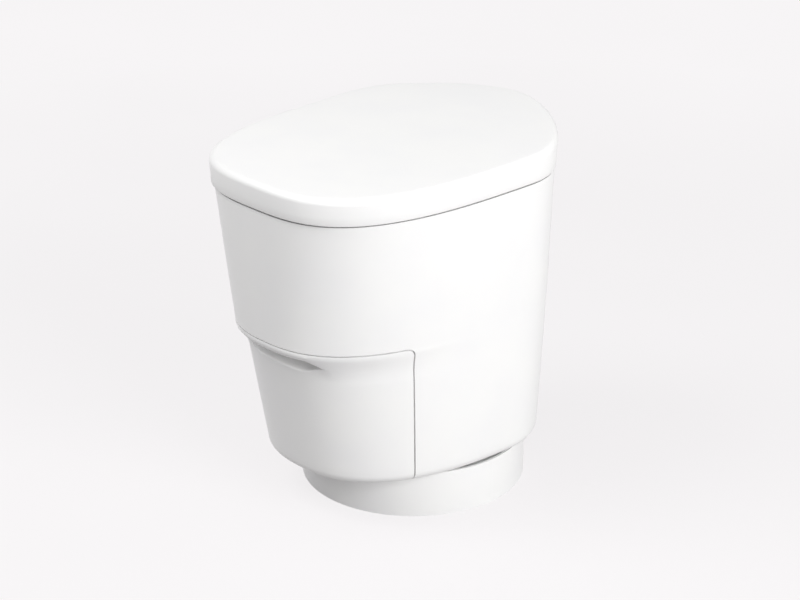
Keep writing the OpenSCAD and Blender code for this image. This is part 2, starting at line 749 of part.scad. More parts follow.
// Rack with its teeth pointing down onto a pinion under the origin, a gap over the axis
module rack_outline(x0, x1) {
  pitch = PI * tooth_m;
  half = pitch / 4 - backlash / 4;
  slope = tan(gear_angle);
  first = ceil((x0 + pitch) / pitch);
  last = floor((x1 - pitch) / pitch);
  translate([0, pinion_r]) union() {
    translate([x0, rack_root]) square([x1 - x0, rack_back]);
    for (k = [first:last]) translate([(k + 0.5) * pitch, 0]) polygon([
      [-half - rack_root * slope, rack_root + 0.01], [tooth_m * slope - half, -tooth_m],
      [half - tooth_m * slope, -tooth_m], [half + rack_root * slope, rack_root + 0.01]]);
  }
}
module racks() {
  both_ends() translate([0, rack_y1, jaw_z]) rotate([90, 0, 0])
    linear_extrude(rack_y1 - rack_y0) rack_outline(-jaw_open - block_w, 14);
}
module rack_left() {
  color(steel) racks();
}
module rack_right() {
  color(steel) translate([0, 0, jaw_z]) rotate([0, 180, 0]) translate([0, 0, -jaw_z]) racks();
}

module drive_pinion() {
  color("ivory") translate([0, -unit_y, 0]) union() {
    gear_y(tooth_m, pinion_teeth, rack_y0, rack_y1, 0, jaw_z);
    rod_y(shaft_r, rack_y0, frame_y1 + 8, 0, jaw_z);
  }
}
module idle_pinion() {
  color("ivory") translate([0, -unit_y, 0]) union() {
    gear_y(tooth_m, pinion_teeth, -rack_y1, -rack_y0, 0, jaw_z);
    rod_y(shaft_r, -frame_y1 - 2, -rack_y0, 0, jaw_z);
  }
}
module pinion_bushes() {
  color("goldenrod") both_ends() difference() {
    union() {
      rod_y(bush_r, frame_y0, frame_y1, 0, jaw_z);
      rod_y(bush_r + 2, frame_y0 - 1.5, frame_y0, 0, jaw_z);
    }
    rod_y(shaft_r + run_clear, frame_y0 - 3, frame_y1 + over, 0, jaw_z);
  }
}

// Gear motor along Y behind the rear frame, with a blind bore for its shaft
module motor(r, length, x, z, bore, depth) {
  translate([0, -unit_y, 0]) difference() {
    union() {
      rod_y(r, frame_y1, frame_y1 + length, x, z);
      rod_y(r * 0.8, frame_y1 + length - over, frame_y1 + length + 2, x, z);
    }
    rod_y(bore + run_clear, frame_y1 - over, frame_y1 + depth, x, z);
  }
}
module jaw_motor() {
  color(dark) motor(motor_r, motor_l, 0, jaw_z, shaft_r, 9);
}
module feed_motor() {
  color(dark) motor(feed_motor_r, motor_l - 6, roller_pitch, roller_z, spindle_r, 9);
}

// Feed rollers: steel core, rubber sleeve and a gear at the front end
core_r = 6;
sleeve_half = jaw_half - 2;
gear_y0 = jaw_half + 6;
gear_y1 = gear_y0 + 6;
module roller_core(x, rear) {
  translate([0, -unit_y, 0]) union() {
    rod_y(core_r, -jaw_half, jaw_half, x, roller_z);
    rod_y(spindle_r, -frame_y1, rear, x, roller_z);
  }
}
module sleeve(x) {
  translate([0, -unit_y, 0]) difference() {
    rod_y(roller_r, -sleeve_half, sleeve_half, x, roller_z);
    rod_y(core_r, -jaw_half, jaw_half, x, roller_z);
  }
}
module roller_gear(x, phase) {
  translate([0, -unit_y, 0]) difference() {
    translate([x, -gear_y0, roller_z]) rotate([90, 0, 0]) rotate(phase)
      linear_extrude(gear_y1 - gear_y0)
      polygon(gear_outline(2 * roller_pitch / roller_teeth, roller_teeth, backlash));
    rod_y(spindle_r, -gear_y1 - over, over - gear_y0, x, roller_z);
  }
}
module feed_roller_left() {
  color(steel) roller_core(-roller_pitch, frame_y1);
}
module feed_roller_right() {
  color(steel) roller_core(roller_pitch, frame_y1 + 8);
}
module roller_sleeve_left() {
  color(dark) sleeve(-roller_pitch);
}
module roller_sleeve_right() {
  color(dark) sleeve(roller_pitch);
}
module roller_gear_left() {
  color("ivory") roller_gear(-roller_pitch, 0);
}
module roller_gear_right() {
  color("ivory") roller_gear(roller_pitch, 180 / roller_teeth);
}

// Electronics
board_x = board_room - half_w;
board_y0 = -board_l / 2 - 8;
board_y1 = board_y0 + board_l;
bracket_h = 0.4 * board_h;
foot_w = 0.2 * board_h;
sheet_t = 1.5;
module board_bracket() {
  color(steel) union() {
    block([board_x, board_y0, middle_top], [board_x + sheet_t, board_y1, middle_top + bracket_h]);
    block([board_x, board_y0, middle_top], [board_x + foot_w, board_y1, middle_top + sheet_t]);
  }
}
module control_board() {
  low = middle_top + bracket_h;
  color("darkgreen") union() {
    block([board_x - sheet_t, board_y0, middle_top + 2 * sheet_t],
      [board_x, board_y1, middle_top + board_h]);
    block([board_x, board_y0 + 0.1 * board_l, low], [board_x + 9, board_y0 + 0.3 * board_l,
      low + 0.45 * board_h]);
    block([board_x, board_y0 + 0.45 * board_l, low], [board_x + 5, board_y0 + 0.7 * board_l,
      low + 0.35 * board_h]);
    rod_x(5, board_x, board_x + 12, board_y1 - 0.15 * board_l, low + 0.3 * board_h);
  }
}
module power_inlet() {
  color(dark) difference() {
    union() {
      rod_y(inlet_r, inlet_y - 22, inlet_y + over, inlet_x, inlet_z);
      rod_y(inlet_flange_r, inlet_y, inlet_y + 2, inlet_x, inlet_z);
    }
    rod_y(inlet_r - 2.5, inlet_y - 12, inlet_y + 3, inlet_x, inlet_z);
  }
}

// Drawer on two rails
rail_y0 = -seam_y + seam_lean + 4;
rail_y1 = 116;
runner_y0 = -158;
runner_y1 = rail_y1 + 8;
tray_z = floor_top + rail_h + 1;
tray_back = 142;
tray_front = -212;
stop_y = rail_y0 + 2;
stop_t = 3;
module rail_section() {
  difference() {
    translate([-rail_half, 0]) square([2 * rail_half, rail_h]);
    translate([3 - rail_half, 3]) square([2 * rail_half - 6, rail_h - 6]);
    translate([-3, 3]) square([6, rail_h]);
  }
}
module runner_section() {
  union() {
    translate([3 + seat_clear - rail_half, 3 + seat_clear])
      square([2 * (rail_half - 3 - seat_clear), rail_h - 6 - 2 * seat_clear]);
    translate([seat_clear - 3, 5]) square([2 * (3 - seat_clear), rail_h - 4]);
  }
}
module along_y(x, y0, y1, z) {
  translate([x, y1, z]) rotate([90, 0, 0]) linear_extrude(y1 - y0) children();
}
module drawer_rails() {
  color(steel) for (s = [-1, 1]) along_y(s * rail_x, rail_y0, rail_y1, floor_top) rail_section();
}
module drawer_magnet() {
  color(dark) block([-12, tray_back + seat_clear, floor_top], [12, tray_back + 8, tray_z + 3]);
}

// Angle on the floor that the tray's tab runs against when the drawer is fully out
module drawer_stop() {
  color(steel) union() {
    block([-15, stop_y, floor_top], [15, stop_y + stop_t, floor_top + rail_h - 3]);
    block([-15, stop_y, floor_top], [15, stop_y + 5 * stop_t, floor_top + 1.5]);
  }
}

// How much narrower and shorter the bin is at its bottom, and the screws in front of it
bin_taper = 14;
bin_taper_l = 27;
drawer_screw_y = bin_front + bin_taper_l - screw_head_r - 0.5;
drawer_screw_spots = [[-56, drawer_screw_y], [56, drawer_screw_y], [-20, drawer_screw_y - 3],
  [20, drawer_screw_y - 3]];
module drawer_tray() {
  color(grey) difference() {
    union() {
      intersection() {
        block([-bin_half + 10, tray_front, tray_z], [bin_half - 10, tray_back, tray_z + tray_t]);
        plate(skin(tray_z, wall + 6), tray_z - over, tray_t + 2 * over);
      }
      for (s = [-1, 1]) along_y(s * rail_x, runner_y0, runner_y1, floor_top) runner_section();
      for (p = drawer_screw_spots) translate([p[0], p[1], floor_top])
        cylinder(r = 5, h = tray_z - floor_top + over);
      block([-12, stop_y + stop_t + drawer_travel, floor_top + 4],
        [12, stop_y + 2 * stop_t + drawer_travel, tray_z + over]);
    }
    for (p = drawer_screw_spots) translate([p[0], p[1], floor_top - over])
      cylinder(r = screw_r, h = tray_z + tray_t - floor_top + 2 * over);
  }
}
module drawer_screws() {
  color(steel) for (p = drawer_screw_spots) translate([p[0], p[1], 0]) {
    translate([0, 0, floor_top]) cylinder(r = screw_r, h = tray_z + tray_t - floor_top);
    translate([0, 0, tray_z + tray_t]) cylinder(r = screw_head_r, h = 2);
  }
}

// Front arc of the drawer's skin, with the finger lip and pocket near its centre
arc_points = 72;
function lip_mask(x) = smooth(ramp(abs(x), lip_half + 3, lip_half - 17));
function pocket_mask(x) = smooth(ramp(abs(x), lip_half + 5, lip_half - 20));
// The lip's edge dips at its two tips, and the levels next to it follow
function lip_dip(x, z) = -tip_dip * smooth(ramp(abs(x), lip_half - 17, lip_half + 3))
  * min(ramp(z, flare_z, lip_z - 1), ramp(z, seam_z - 2, lip_z));
// The pocket is deepest a little way under the lip and runs out towards the flare's foot
function pocket(z) = sin(180 * pow(ramp(z, flare_z - 8, lip_z + 10), 2.2));
function lip_front(x, z, level) = level >= lip_z
  ? mix(skin_front(z), upper_front(seam_z), lip_mask(x))
  : mix(skin_front(z), lower_front(flare_z) - pocket_depth * pocket(z), pocket_mask(x));
function drawer_point(a, level, inset) = let (n0 = skin_square(level),
    z = level + lip_dip((skin_side(level) - inset) * bend(cos(a), n0), level),
    n = skin_square(z), x = (skin_side(z) - inset) * bend(cos(a), n),
    reach = level > flare_z - 8 ? lip_front(x, z, level) : skin_front(z))
  [x, shell_y + (reach - inset) * bend(sin(a), n), z];
function drawer_ring(level, inset) = [for (i = [0:arc_points])
  drawer_point(180 + 180 * i / arc_points, level, inset)];
// Inner face: one wall behind the skin, and further back behind the pocket
function plain_ring(z, inset, deep) = [for (i = [0:arc_points])
  let (a = 180 + 180 * i / arc_points, n = skin_square(min(z, flare_z)),
    x = (skin_side(z) - inset) * bend(cos(a), n))
  [x, shell_y + (lower_front(min(z, flare_z)) - inset
    - deep * smooth(ramp(abs(x), lip_half + 18, lip_half - 12))) * bend(sin(a), n), z]];
drawer_levels = [120, 180, flare_z - 8, flare_z, flare_z + 8, flare_z + 16, flare_z + 23,
  lip_z - 5, lip_z - 0.8, lip_z, lip_z + 5, lip_z + 10, seam_z];
module drawer_front() {
  color(white) intersection() {
    difference() {
      loft(concat([for (phi = [0:22.5:90]) drawer_ring(fillet_z(phi), fillet(phi))],
        [for (z = drawer_levels) drawer_ring(z, 0)]));
      loft([plain_ring(floor_top, foot_r, 0), plain_ring(floor_z + foot_r, wall, 0),
        plain_ring(flare_z - 34, wall, 0), plain_ring(flare_z - 8, wall, pocket_depth),
        plain_ring(seam_z + over, wall, pocket_depth)]);
    }
    drawer_zone(-seam_gap / 2);
  }
}

// Bin and the ring that clamps a bag on its rim
bin_z = tray_z + tray_t + seat_clear;
bin_square = 4;
function bin_ring(side, half, z) = [for (i = [0:outline_points - 1])
  let (a = 360 * i / outline_points)
  [side * bend(cos(a), bin_square), bin_y + half * bend(sin(a), bin_square), z]];
module waste_bin() {
  color(dark) loft([
    bin_ring(bin_half - bin_taper, bin_half_l - bin_taper_l, bin_z),
    bin_ring(bin_half - bin_taper + 4, bin_half_l - bin_taper_l + 5, bin_z + 6),
    bin_ring(bin_half - 3, bin_half_l - 3, bin_z + bin_h - 6),
    bin_ring(bin_half, bin_half_l, bin_z + bin_h - 6),
    bin_ring(bin_half, bin_half_l, bin_z + bin_h),
    bin_ring(bin_half - 3 - bin_wall, bin_half_l - 3 - bin_wall, bin_z + bin_h),
    bin_ring(bin_half - bin_taper + 4 - bin_wall, bin_half_l - bin_taper_l + 5 - bin_wall, bin_z + 6),
    bin_ring(bin_half - bin_taper - 1 - bin_wall, bin_half_l - bin_taper_l - 1 - bin_wall,
      bin_z + bin_wall)]);
}
module bag_ring() {
  top = bin_z + bin_h;
  color(grey) difference() {
    plate(bin_ring(bin_half, bin_half_l, 0), top, 4);
    plate(bin_ring(bin_half - 8, bin_half_l - 8, 0), top - over, 4 + 2 * over);
  }
}

// Hinge under the top deck
ear_in = 52;
ear_out = 57;
bracket_t = 3;
hub_r = 9;
ear_front = hinge_y - 35;
ear_back = hinge_y + 5;
ear_low = hinge_z - 20;
module hinge_bracket() {
  color(steel) difference() {
    union() {
      both_sides() {
        translate([ear_in, 0, 0]) rotate([90, 0, 90]) linear_extrude(ear_out - ear_in) polygon([
          [ear_front, ear_low], [ear_back, ear_low], [ear_back, hinge_z + 4],
          [hinge_y - 3, deck_under], [ear_front, deck_under]]);
        block([ear_in, ear_front, deck_under - bracket_t],
          [hinge_screw_x + 7, hinge_y - 9, deck_under]);
      }
      block([-ear_out, ear_front, ear_low], [ear_out, ear_back, ear_low + bracket_t]);
    }
    rod_x(pin_r, -ear_out - over, ear_out + over, hinge_y, hinge_z);
    for (s = [-1, 1]) for (y = hinge_screw_ys)
      translate([s * hinge_screw_x, y, deck_under - bracket_t - over])
      cylinder(r = deck_screw_r, h = bracket_t + 2 * over);
  }
}
module hinge_pin() {
  color(steel) union() {
    rod_x(pin_r, -ear_out - 2, ear_out + 2, hinge_y, hinge_z);
    both_sides() rod_x(pin_r + 1.5, ear_out, ear_out + 2, hinge_y, hinge_z);
  }
}
module hinge_dampers() {
  color(dark) both_sides() difference() {
    union() {
      rod_x(hub_r, 2, 24, hinge_y, hinge_z);
      block([4, hinge_y - 5, ear_low + bracket_t], [22, hinge_y + 5, hinge_z]);
    }
    rod_x(pin_r, over, 25, hinge_y, hinge_z);
  }
}

// Hinge arm: side view drawn around the pin, at x from the centre
module arm(x, shape) {
  difference() {
    union() {
      translate([x, hinge_y, hinge_z]) rotate([90, 0, 90]) linear_extrude(arm_w) polygon(shape);
      rod_x(hub_r, x, x + arm_w, hinge_y, hinge_z);
    }
    rod_x(pin_r + run_clear, x - over, x + arm_w + over, hinge_y, hinge_z);
  }
}
seat_z = deck_z + seat_lift;
over_deck = deck_z + 0.5 - hinge_z;
module seat_arms() {
  top = seat_z - hinge_z;
  bend_y = -seat_arm_reach;
  color(steel) both_sides() arm(seat_arm_x, [[0, -arm_h / 2], [bend_y, -arm_h / 2],
    [bend_y - arm_h, arm_h / 2], [bend_y - arm_h, over_deck],
    [bend_y - arm_foot, over_deck], [bend_y - arm_foot, top], [bend_y, top],
    [bend_y, arm_h / 2], [0, arm_h / 2]]);
}
module lid_arms() {
  top = lid_z + panel_rise - hinge_z;
  bend_y = -lid_arm_reach;
  color(steel) both_sides() arm(lid_arm_x, [[0, 1.5 - arm_h], [bend_y, 1.5 - arm_h],
    [bend_y - arm_h, 1.5], [bend_y - arm_h, top - 4], [bend_y - arm_foot, top - 4],
    [bend_y - arm_foot, top], [bend_y, top], [bend_y, 1.5], [0, 1.5]]);
}

seat_open = 5;
module seat() {
  a = bowl_half_x + seat_open;
  b = bowl_half_y + seat_open;
  n = 3;
  color(white) loft_loop([
    outline(seat_half - 3, seat_front - 3, seat_back - 3, n, n, seat_z),
    outline(seat_half, seat_front, seat_back, n, n, seat_z + 4),
    outline(seat_half, seat_front, seat_back, n, n, seat_z + seat_t - 9),
    outline(seat_half - 4, seat_front - 4, seat_back - 3, n, n, seat_z + seat_t - 2.5),
    outline(seat_half - 16, seat_front - 16, seat_back - 8, n, n, seat_z + seat_t),
    oval(a + 16, b + 12, -bowl_y, seat_z + seat_t - 1.5),
    oval(a + 4, b + 4, -bowl_y, seat_z + seat_t - 7),
    oval(a, b, -bowl_y, seat_z + seat_t - 14),
    oval(a, b, -bowl_y, seat_z)]);
}
seat_bumper_spots = [[135, -120], [140, 60]];
module seat_bumpers() {
  color(dark) both_sides() for (p = seat_bumper_spots)
    translate([p[0], p[1], deck_z + seat_clear]) cylinder(r = 8, h = seat_lift - seat_clear);
}

// Lid
module lid_shell() {
  edge = [for (phi = [0:22.5:90])
    lid_ring(lid_edge_r * (1 - cos(phi)), lid_z + lid_h - lid_edge_r * (1 - sin(phi)))];
  inner_r = lid_edge_r - 3;
  ceiling = lid_z + lid_h - lid_wall;
  inside = [lid_ring(lid_wall + inner_r, ceiling), lid_ring(lid_wall + 1.5, ceiling - 2),
    lid_ring(lid_wall, ceiling - inner_r)];
  crown = [lid_ring(35, lid_z + lid_h + lid_crown * 0.5),
    lid_ring(80, lid_z + lid_h + lid_crown * 0.9), lid_ring(130, lid_top)];
  color(white) strip_loft(concat([for (r = inside) raised(r)],
    [lid_ring(lid_wall + lid_draft, lid_z), lid_ring(lid_draft, lid_z)],
    [for (r = edge) raised(r)], [for (r = crown) raised(r)]));
}
module lid_panel() {
  z = lid_z + panel_rise;
  color(white) plate(lid_ring(lid_wall + lid_draft / 2 + 0.5, 0), z, panel_t);
}
lid_bumper_spots = [[120, -170], [135, 60]];
module lid_bumpers() {
  low = seat_z + seat_t + seat_clear;
  color(dark) both_sides() for (p = lid_bumper_spots)
    translate([p[0], p[1], low]) cylinder(r = 6, h = lid_z + panel_rise - low);
}

foot_ring();
glide_ring();
swivel_hub();
hub_retainer();
hub_screws();
housing();
middle_deck();
top_deck();
deck_screws();
bowl_funnel();
liner_cartridge();
film_pack();
cartridge_cap();
liner_film();
seal_frame_front();
seal_frame_rear();
guide_rods();
jaw_left();
jaw_right();
jaw_pad();
heater_bar();
rack_left();
rack_right();
drive_pinion();
idle_pinion();
pinion_bushes();
jaw_motor();
feed_roller_left();
feed_roller_right();
roller_sleeve_left();
roller_sleeve_right();
roller_gear_left();
roller_gear_right();
feed_motor();
control_board();
board_bracket();
power_inlet();
drawer_rails();
drawer_magnet();
drawer_stop();
drawer_front();
drawer_tray();
drawer_screws();
waste_bin();
bag_ring();
hinge_bracket();
hinge_pin();
hinge_dampers();
seat();
seat_arms();
seat_bumpers();
lid_shell();
lid_panel();
lid_arms();
lid_bumpers();
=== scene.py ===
import logging
import math
from dataclasses import dataclass
from enum import Enum
from typing import Callable, Iterable, Sequence

import bmesh
import bpy
from bmesh.types import BMesh
from bpy.types import ID, Material, Mesh, Node, NodeSocket, NodeTree, Object
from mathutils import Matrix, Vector


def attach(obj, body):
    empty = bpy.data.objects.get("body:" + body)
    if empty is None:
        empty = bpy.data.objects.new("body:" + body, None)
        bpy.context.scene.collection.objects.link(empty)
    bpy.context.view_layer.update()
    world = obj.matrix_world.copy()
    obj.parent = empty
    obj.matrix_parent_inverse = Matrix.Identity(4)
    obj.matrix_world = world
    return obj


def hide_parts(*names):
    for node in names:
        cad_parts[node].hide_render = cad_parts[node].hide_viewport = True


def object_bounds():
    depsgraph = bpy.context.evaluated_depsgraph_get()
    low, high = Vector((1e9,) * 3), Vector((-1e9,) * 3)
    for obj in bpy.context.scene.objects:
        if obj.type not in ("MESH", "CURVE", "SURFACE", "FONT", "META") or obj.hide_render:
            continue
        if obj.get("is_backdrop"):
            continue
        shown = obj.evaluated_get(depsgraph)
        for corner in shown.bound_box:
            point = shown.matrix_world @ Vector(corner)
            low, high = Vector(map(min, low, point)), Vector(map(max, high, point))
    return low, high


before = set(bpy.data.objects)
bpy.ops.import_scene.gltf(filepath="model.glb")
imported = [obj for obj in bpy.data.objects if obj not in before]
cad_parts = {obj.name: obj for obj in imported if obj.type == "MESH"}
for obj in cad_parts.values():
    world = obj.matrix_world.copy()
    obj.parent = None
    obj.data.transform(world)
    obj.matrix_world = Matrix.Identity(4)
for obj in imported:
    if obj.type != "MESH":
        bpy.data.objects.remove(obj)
CAD_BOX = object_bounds()

logging.basicConfig(level=logging.INFO, format="%(message)s")
log = logging.getLogger("toilet")

MM = 0.001
# Distances in metres under which points are one, and under which a cut runs through a point
WELD = 0.01 * MM
TOUCH = 0.001 * MM
# Exponent of a plain ellipse, and the sine of the turn from which a back half is bent in full
ELLIPSE = 2.0
FULL_BEND = 0.8
# Steps per point in which an outline's length is measured
WALK_STEPS = 12
# Angle in degrees from which an edge counts as sharp
SHARP = 35.0
Row = Callable[[float], Vector]
Place = tuple[float, float, float]


class Body(Enum):
    """The moving bodies that new pieces ride on."""

    BODY = "body"
    SEAT = "seat_unit"
    LID = "lid"
    DRAWER = "drawer"


# Numbers and curves

def mix(low: float, high: float, share: float) -> float:
    """Value between low and high at a share from 0 to 1."""
    return low + (high - low) * share


def ramp(value: float, low: float, high: float) -> float:
    """Share of the way from low to high, held to 0 and 1."""
    return min(1.0, max(0.0, (value - low) / (high - low)))


def smooth(share: float) -> float:
    """Share with a soft start and end."""
    return share * share * (3 - 2 * share)


def bend(value: float, square: float) -> float:
    """Cosine or sine bent from a circle (2) towards a rectangle (above 2)."""
    return math.copysign(abs(value) ** (2 / square), value)


@dataclass(frozen=True)
class Outline:
    """Level outline of two halves, front and back, that share the widest line; sizes in mm.

    The halves are ellipses made squarer by their own exponent. A back half that narrows, with an
    exponent under 2, starts as a plain ellipse, so that the sides pass into it smoothly.
    """

    side: float
    front: float
    back: float
    front_square: float
    back_square: float
    middle_y: float

    def at(self, turn: float, z: float, share: float = 1.0) -> Vector:
        """Point of the outline.

        Args:
            turn: Angle of the point, from +X towards the back.
            z: Height in mm.
            share: Scale of the outline about its middle.

        Returns:
            The point in mm.
        """
        fore = math.sin(turn) < 0
        square = self.front_square if fore else self.back_square
        if not fore and square < ELLIPSE:
            square = mix(ELLIPSE, square, smooth(ramp(math.sin(turn), 0, FULL_BEND)))
        reach = self.front if fore else self.back
        return Vector((share * self.side * bend(math.cos(turn), square),
                       self.middle_y + share * reach * bend(math.sin(turn), square), z))

    def inset(self, by: float) -> "Outline":
        """Same outline with every reach shorter by the inset."""
        return Outline(self.side - by, self.front - by, self.back - by,
                       self.front_square, self.back_square, self.middle_y)


def level(outline: Outline, z: float, share: float = 1.0) -> Row:
    """Row that follows an outline at a height, scaled about the outline's middle."""
    return lambda turn: outline.at(turn, z, share)


def round_turns(count: int) -> list[float]:
    """Angles in equal steps over a full turn."""
    return [2 * math.pi * step / count for step in range(count)]


def even_turns(outline: Outline, count: int,
               weight: Callable[[Vector], float] = lambda point: 1.0) -> list[float]:
    """Angles that space points evenly along an outline.

    Args:
        outline: The outline to walk along.
        count: Number of points.
        weight: How much closer the points lie at a place, 1 for the plain spacing.

    Returns:
        The angles, from 0 up to a full turn.
    """
    fine = WALK_STEPS * count
    walk = [0.0]
    last = outline.at(0.0, 0.0)
    for step in range(1, fine + 1):
        point = outline.at(2 * math.pi * step / fine, 0.0)
        walk.append(walk[-1] + (point - last).length * weight(point))
        last = point
    turns = []
    step = 0
    for index in range(count):
        goal = walk[-1] * index / count
        while walk[step + 1] < goal:
            step += 1
        share = (goal - walk[step]) / (walk[step + 1] - walk[step])
        turns.append(2 * math.pi * (step + share) / fine)
    return turns


# Finishes

def linear(code: str) -> tuple[float, float, float, float]:
    """Turns an sRGB hex colour into linear values.

    Args:
        code: Six hex digits.

    Returns:
        Red, green, blue and an alpha of 1.
    """
    parts = [int(code[at:at + 2], 16) / 255 for at in (0, 2, 4)]
    red, green, blue = [p / 12.92 if p <= 0.04045 else ((p + 0.055) / 1.055) ** 2.4 for p in parts]
    return red, green, blue, 1.0


def add_node(tree: NodeTree, kind: str, settings: dict, links: dict) -> Node:
    """Adds a shader node.

    Args:
        tree: The material's or world's node tree.
        kind: Blender's name for the type of node.
        settings: Values by input name, or by property name where no input has it.
        links: Output sockets by the name or number of the input that they feed.

    Returns:
        The new node.
    """
    node = tree.nodes.new(kind)
    for key, value in settings.items():
        if isinstance(key, int) or key in node.inputs:
            node.inputs[key].default_value = value
        else:
            setattr(node, key, value)
    for key, socket in links.items():
        tree.links.new(socket, node.inputs[key])
    return node


def add_tones(tree: NodeTree, noise: Node, codes: tuple[str, str],
              span: tuple[float, float] = (0.0, 1.0)) -> NodeSocket:
    """Adds a run between two colours over a span of a noise, and returns its socket."""
    tones = add_node(tree, "ShaderNodeValToRGB", {}, {"Fac": noise.outputs["Fac"]})
    for element, code, position in zip(tones.color_ramp.elements, codes, span):
        element.position = position
        element.color = linear(code)
    return tones.outputs["Color"]


@dataclass(frozen=True)
class Finish:
    """One real material with its moulded, rolled or ground surface; lengths in mm."""

    name: str
    slot: str
    colour: str
    shade: str
    roughness: float
    gloss_spread: float = 0.05
    metallic: float = 0.0
    ior: float = 1.5
    cloud: float = 60.0
    grain: float = 2.0
    relief: float = 0.01
    stretch: Place = (1.0, 1.0, 1.0)
    coat: float = 0.0
    transmission: float = 0.0
    subsurface: float = 0.0
    scatter: float = 4.0

    def material(self) -> Material:
        """Builds the finish once and returns the same material afterwards."""
        made = bpy.data.materials.get(self.name)
        if made:
            return made
        material = bpy.data.materials.new(self.name)
        material.use_nodes = True
        tree = material.node_tree
        shader = tree.nodes["Principled BSDF"]
        self.set_constants(shader)
        place = add_node(tree, "ShaderNodeTexCoord", {}, {})
        turned = add_node(tree, "ShaderNodeMapping", {"Scale": self.stretch},
                          {"Vector": place.outputs["Object"]})
        self.add_clouds(tree, shader, place.outputs["Object"])
        self.add_grain(tree, shader, turned.outputs["Vector"])
        return material

    def set_constants(self, shader: Node) -> None:
        """Sets what is the same all over the surface on the shader's own sockets."""
        values = {"Metallic": self.metallic, "Coat Weight": self.coat,
                  "Transmission Weight": self.transmission, "Subsurface Weight": self.subsurface,
                  "Subsurface Radius": (self.scatter * MM,) * 3}
        if not self.metallic:
            values["IOR"] = self.ior
        for name, value in values.items():
            shader.inputs[name].default_value = value

    def add_clouds(self, tree: NodeTree, shader: Node, place: NodeSocket) -> None:
        """Lets the colour drift between two near tones, as batches of granulate or sheet do."""
        cloud = add_node(tree, "ShaderNodeTexNoise",
                         {"Scale": 1 / (self.cloud * MM), "Detail": 3.0}, {"Vector": place})
        tones = add_tones(tree, cloud, (self.shade, self.colour), (0.35, 0.65))
        tree.links.new(tones, shader.inputs["Base Color"])

    def add_grain(self, tree: NodeTree, shader: Node, place: NodeSocket) -> None:
        """Adds the surface's fine relief, and lets the gloss vary with it."""
        grain = add_node(tree, "ShaderNodeTexNoise",
                         {"Scale": 1 / (self.grain * MM), "Detail": 2.0}, {"Vector": place})
        gloss = add_node(tree, "ShaderNodeMapRange", {
            "From Min": 0.3, "From Max": 0.7,
            "To Min": self.roughness - self.gloss_spread,
            "To Max": self.roughness + self.gloss_spread,
        }, {"Value": grain.outputs["Fac"]})
        bump = add_node(tree, "ShaderNodeBump",
                        {"Strength": 1.0, "Distance": self.relief * MM},
                        {"Height": grain.outputs["Fac"]})
        tree.links.new(gloss.outputs["Result"], shader.inputs["Roughness"])
        tree.links.new(bump.outputs["Normal"], shader.inputs["Normal"])


# Injection-moulded ABS with a fine spark-eroded texture: an even satin white. The texture of 0.1 mm
# is drawn ten times coarser and very shallow.
SATIN_ABS = Finish("satin_abs", "white_shell", "F4F4F3", "F2F2F2", 0.4, 0.03, ior=1.54,
                   cloud=90.0, grain=1.2, relief=0.004)
# Compression-moulded urea resin, as seats are made of: a glossier, slightly warmer white.
GLOSS_SEAT = Finish("moulded_urea_resin", "white_seat", "F4F3F0", "F0EFEC", 0.2, 0.03, ior=1.6,
                    cloud=80.0, grain=4.0, relief=0.006, coat=0.2)
# Moulded polypropylene, grey, with a fine matt grain.
GREY_PP = Finish("grained_polypropylene", "grey_plastic", "A6A9AD", "9DA0A4", 0.5, 0.06,
                 cloud=40.0, grain=1.4, relief=0.02)
# Moulded polypropylene from recycled granulate: near black with lighter specks.
DARK_PP = Finish("recycled_polypropylene", "dark_plastic", "2A2A2D", "212123", 0.48, 0.07,
                 cloud=7.0, grain=1.4, relief=0.03)
# Machined and moulded acetal: dense, waxy, creamy white.
ACETAL = Finish("acetal", "acetal", "E8E4D8", "E2DDCF", 0.32, 0.04, ior=1.48, cloud=30.0,
                grain=1.0, subsurface=0.1)
# Extruded multilayer barrier film: thin, milky and crinkled, with a soft shine on its folds.
FILM = Finish("barrier_film", "film", "E6EAEE", "DDE2E8", 0.24, 0.06, ior=1.52, cloud=22.0,
              grain=9.0, relief=0.6, transmission=0.15)
# Moulded EPDM rubber: matt black, a little dusty.
RUBBER = Finish("epdm_rubber", "rubber", "1E1E1F", "161617", 0.75, 0.06, ior=1.52, cloud=10.0,
                grain=0.8, relief=0.03)
# Cast silicone, brick red, with a satin skin.
SILICONE = Finish("cast_silicone", "silicone", "B5583F", "AC5039", 0.5, 0.05, ior=1.41, cloud=12.0,
                  grain=1.5, relief=0.02, subsurface=0.1)
# Pressed and galvanised steel sheet: grey with a faint spangle.
ZINC_SHEET = Finish("galvanised_sheet", "sheet_steel", "BEC1C4", "ACAFB3", 0.36, 0.08, 1.0,
                    cloud=9.0, grain=2.5)
# Zinc-plated screws: brighter and smoother than the sheet.
ZINC_SCREW = Finish("plated_screw_steel", "screw_steel", "C8C9CA", "BCBDBF", 0.27, 0.05, 1.0,
                    cloud=3.0, grain=0.8)
# Centreless-ground steel bar: bright, with rings of fine grinding marks round the bar.
GROUND_STEEL = Finish("ground_steel", "ground_steel", "CDCED0", "C2C3C6", 0.2, 0.06, 1.0,
                      cloud=12.0, grain=1.0, relief=0.006, stretch=(0.2, 1.0, 0.2))
# Extruded and anodised aluminium: pale grey with lengthwise die lines.
ANODISED = Finish("anodised_aluminium", "jaw_aluminium", "D0D2D4", "C6C8CB", 0.38, 0.06, 1.0,
                  cloud=30.0, grain=0.9, stretch=(1.0, 0.06, 1.0))
# Powder-coated motor can: black with a fine orange peel.
POWDER_BLACK = Finish("powder_coat", "motor_black", "242427", "1B1B1D", 0.45,
                      cloud=14.0, grain=1.6, relief=0.04)
# Turned brass: warm yellow, slightly dulled.
BRASS = Finish("turned_brass", "brass", "CFA862", "BE9550", 0.3, 0.07, 1.0, cloud=8.0, grain=0.8)
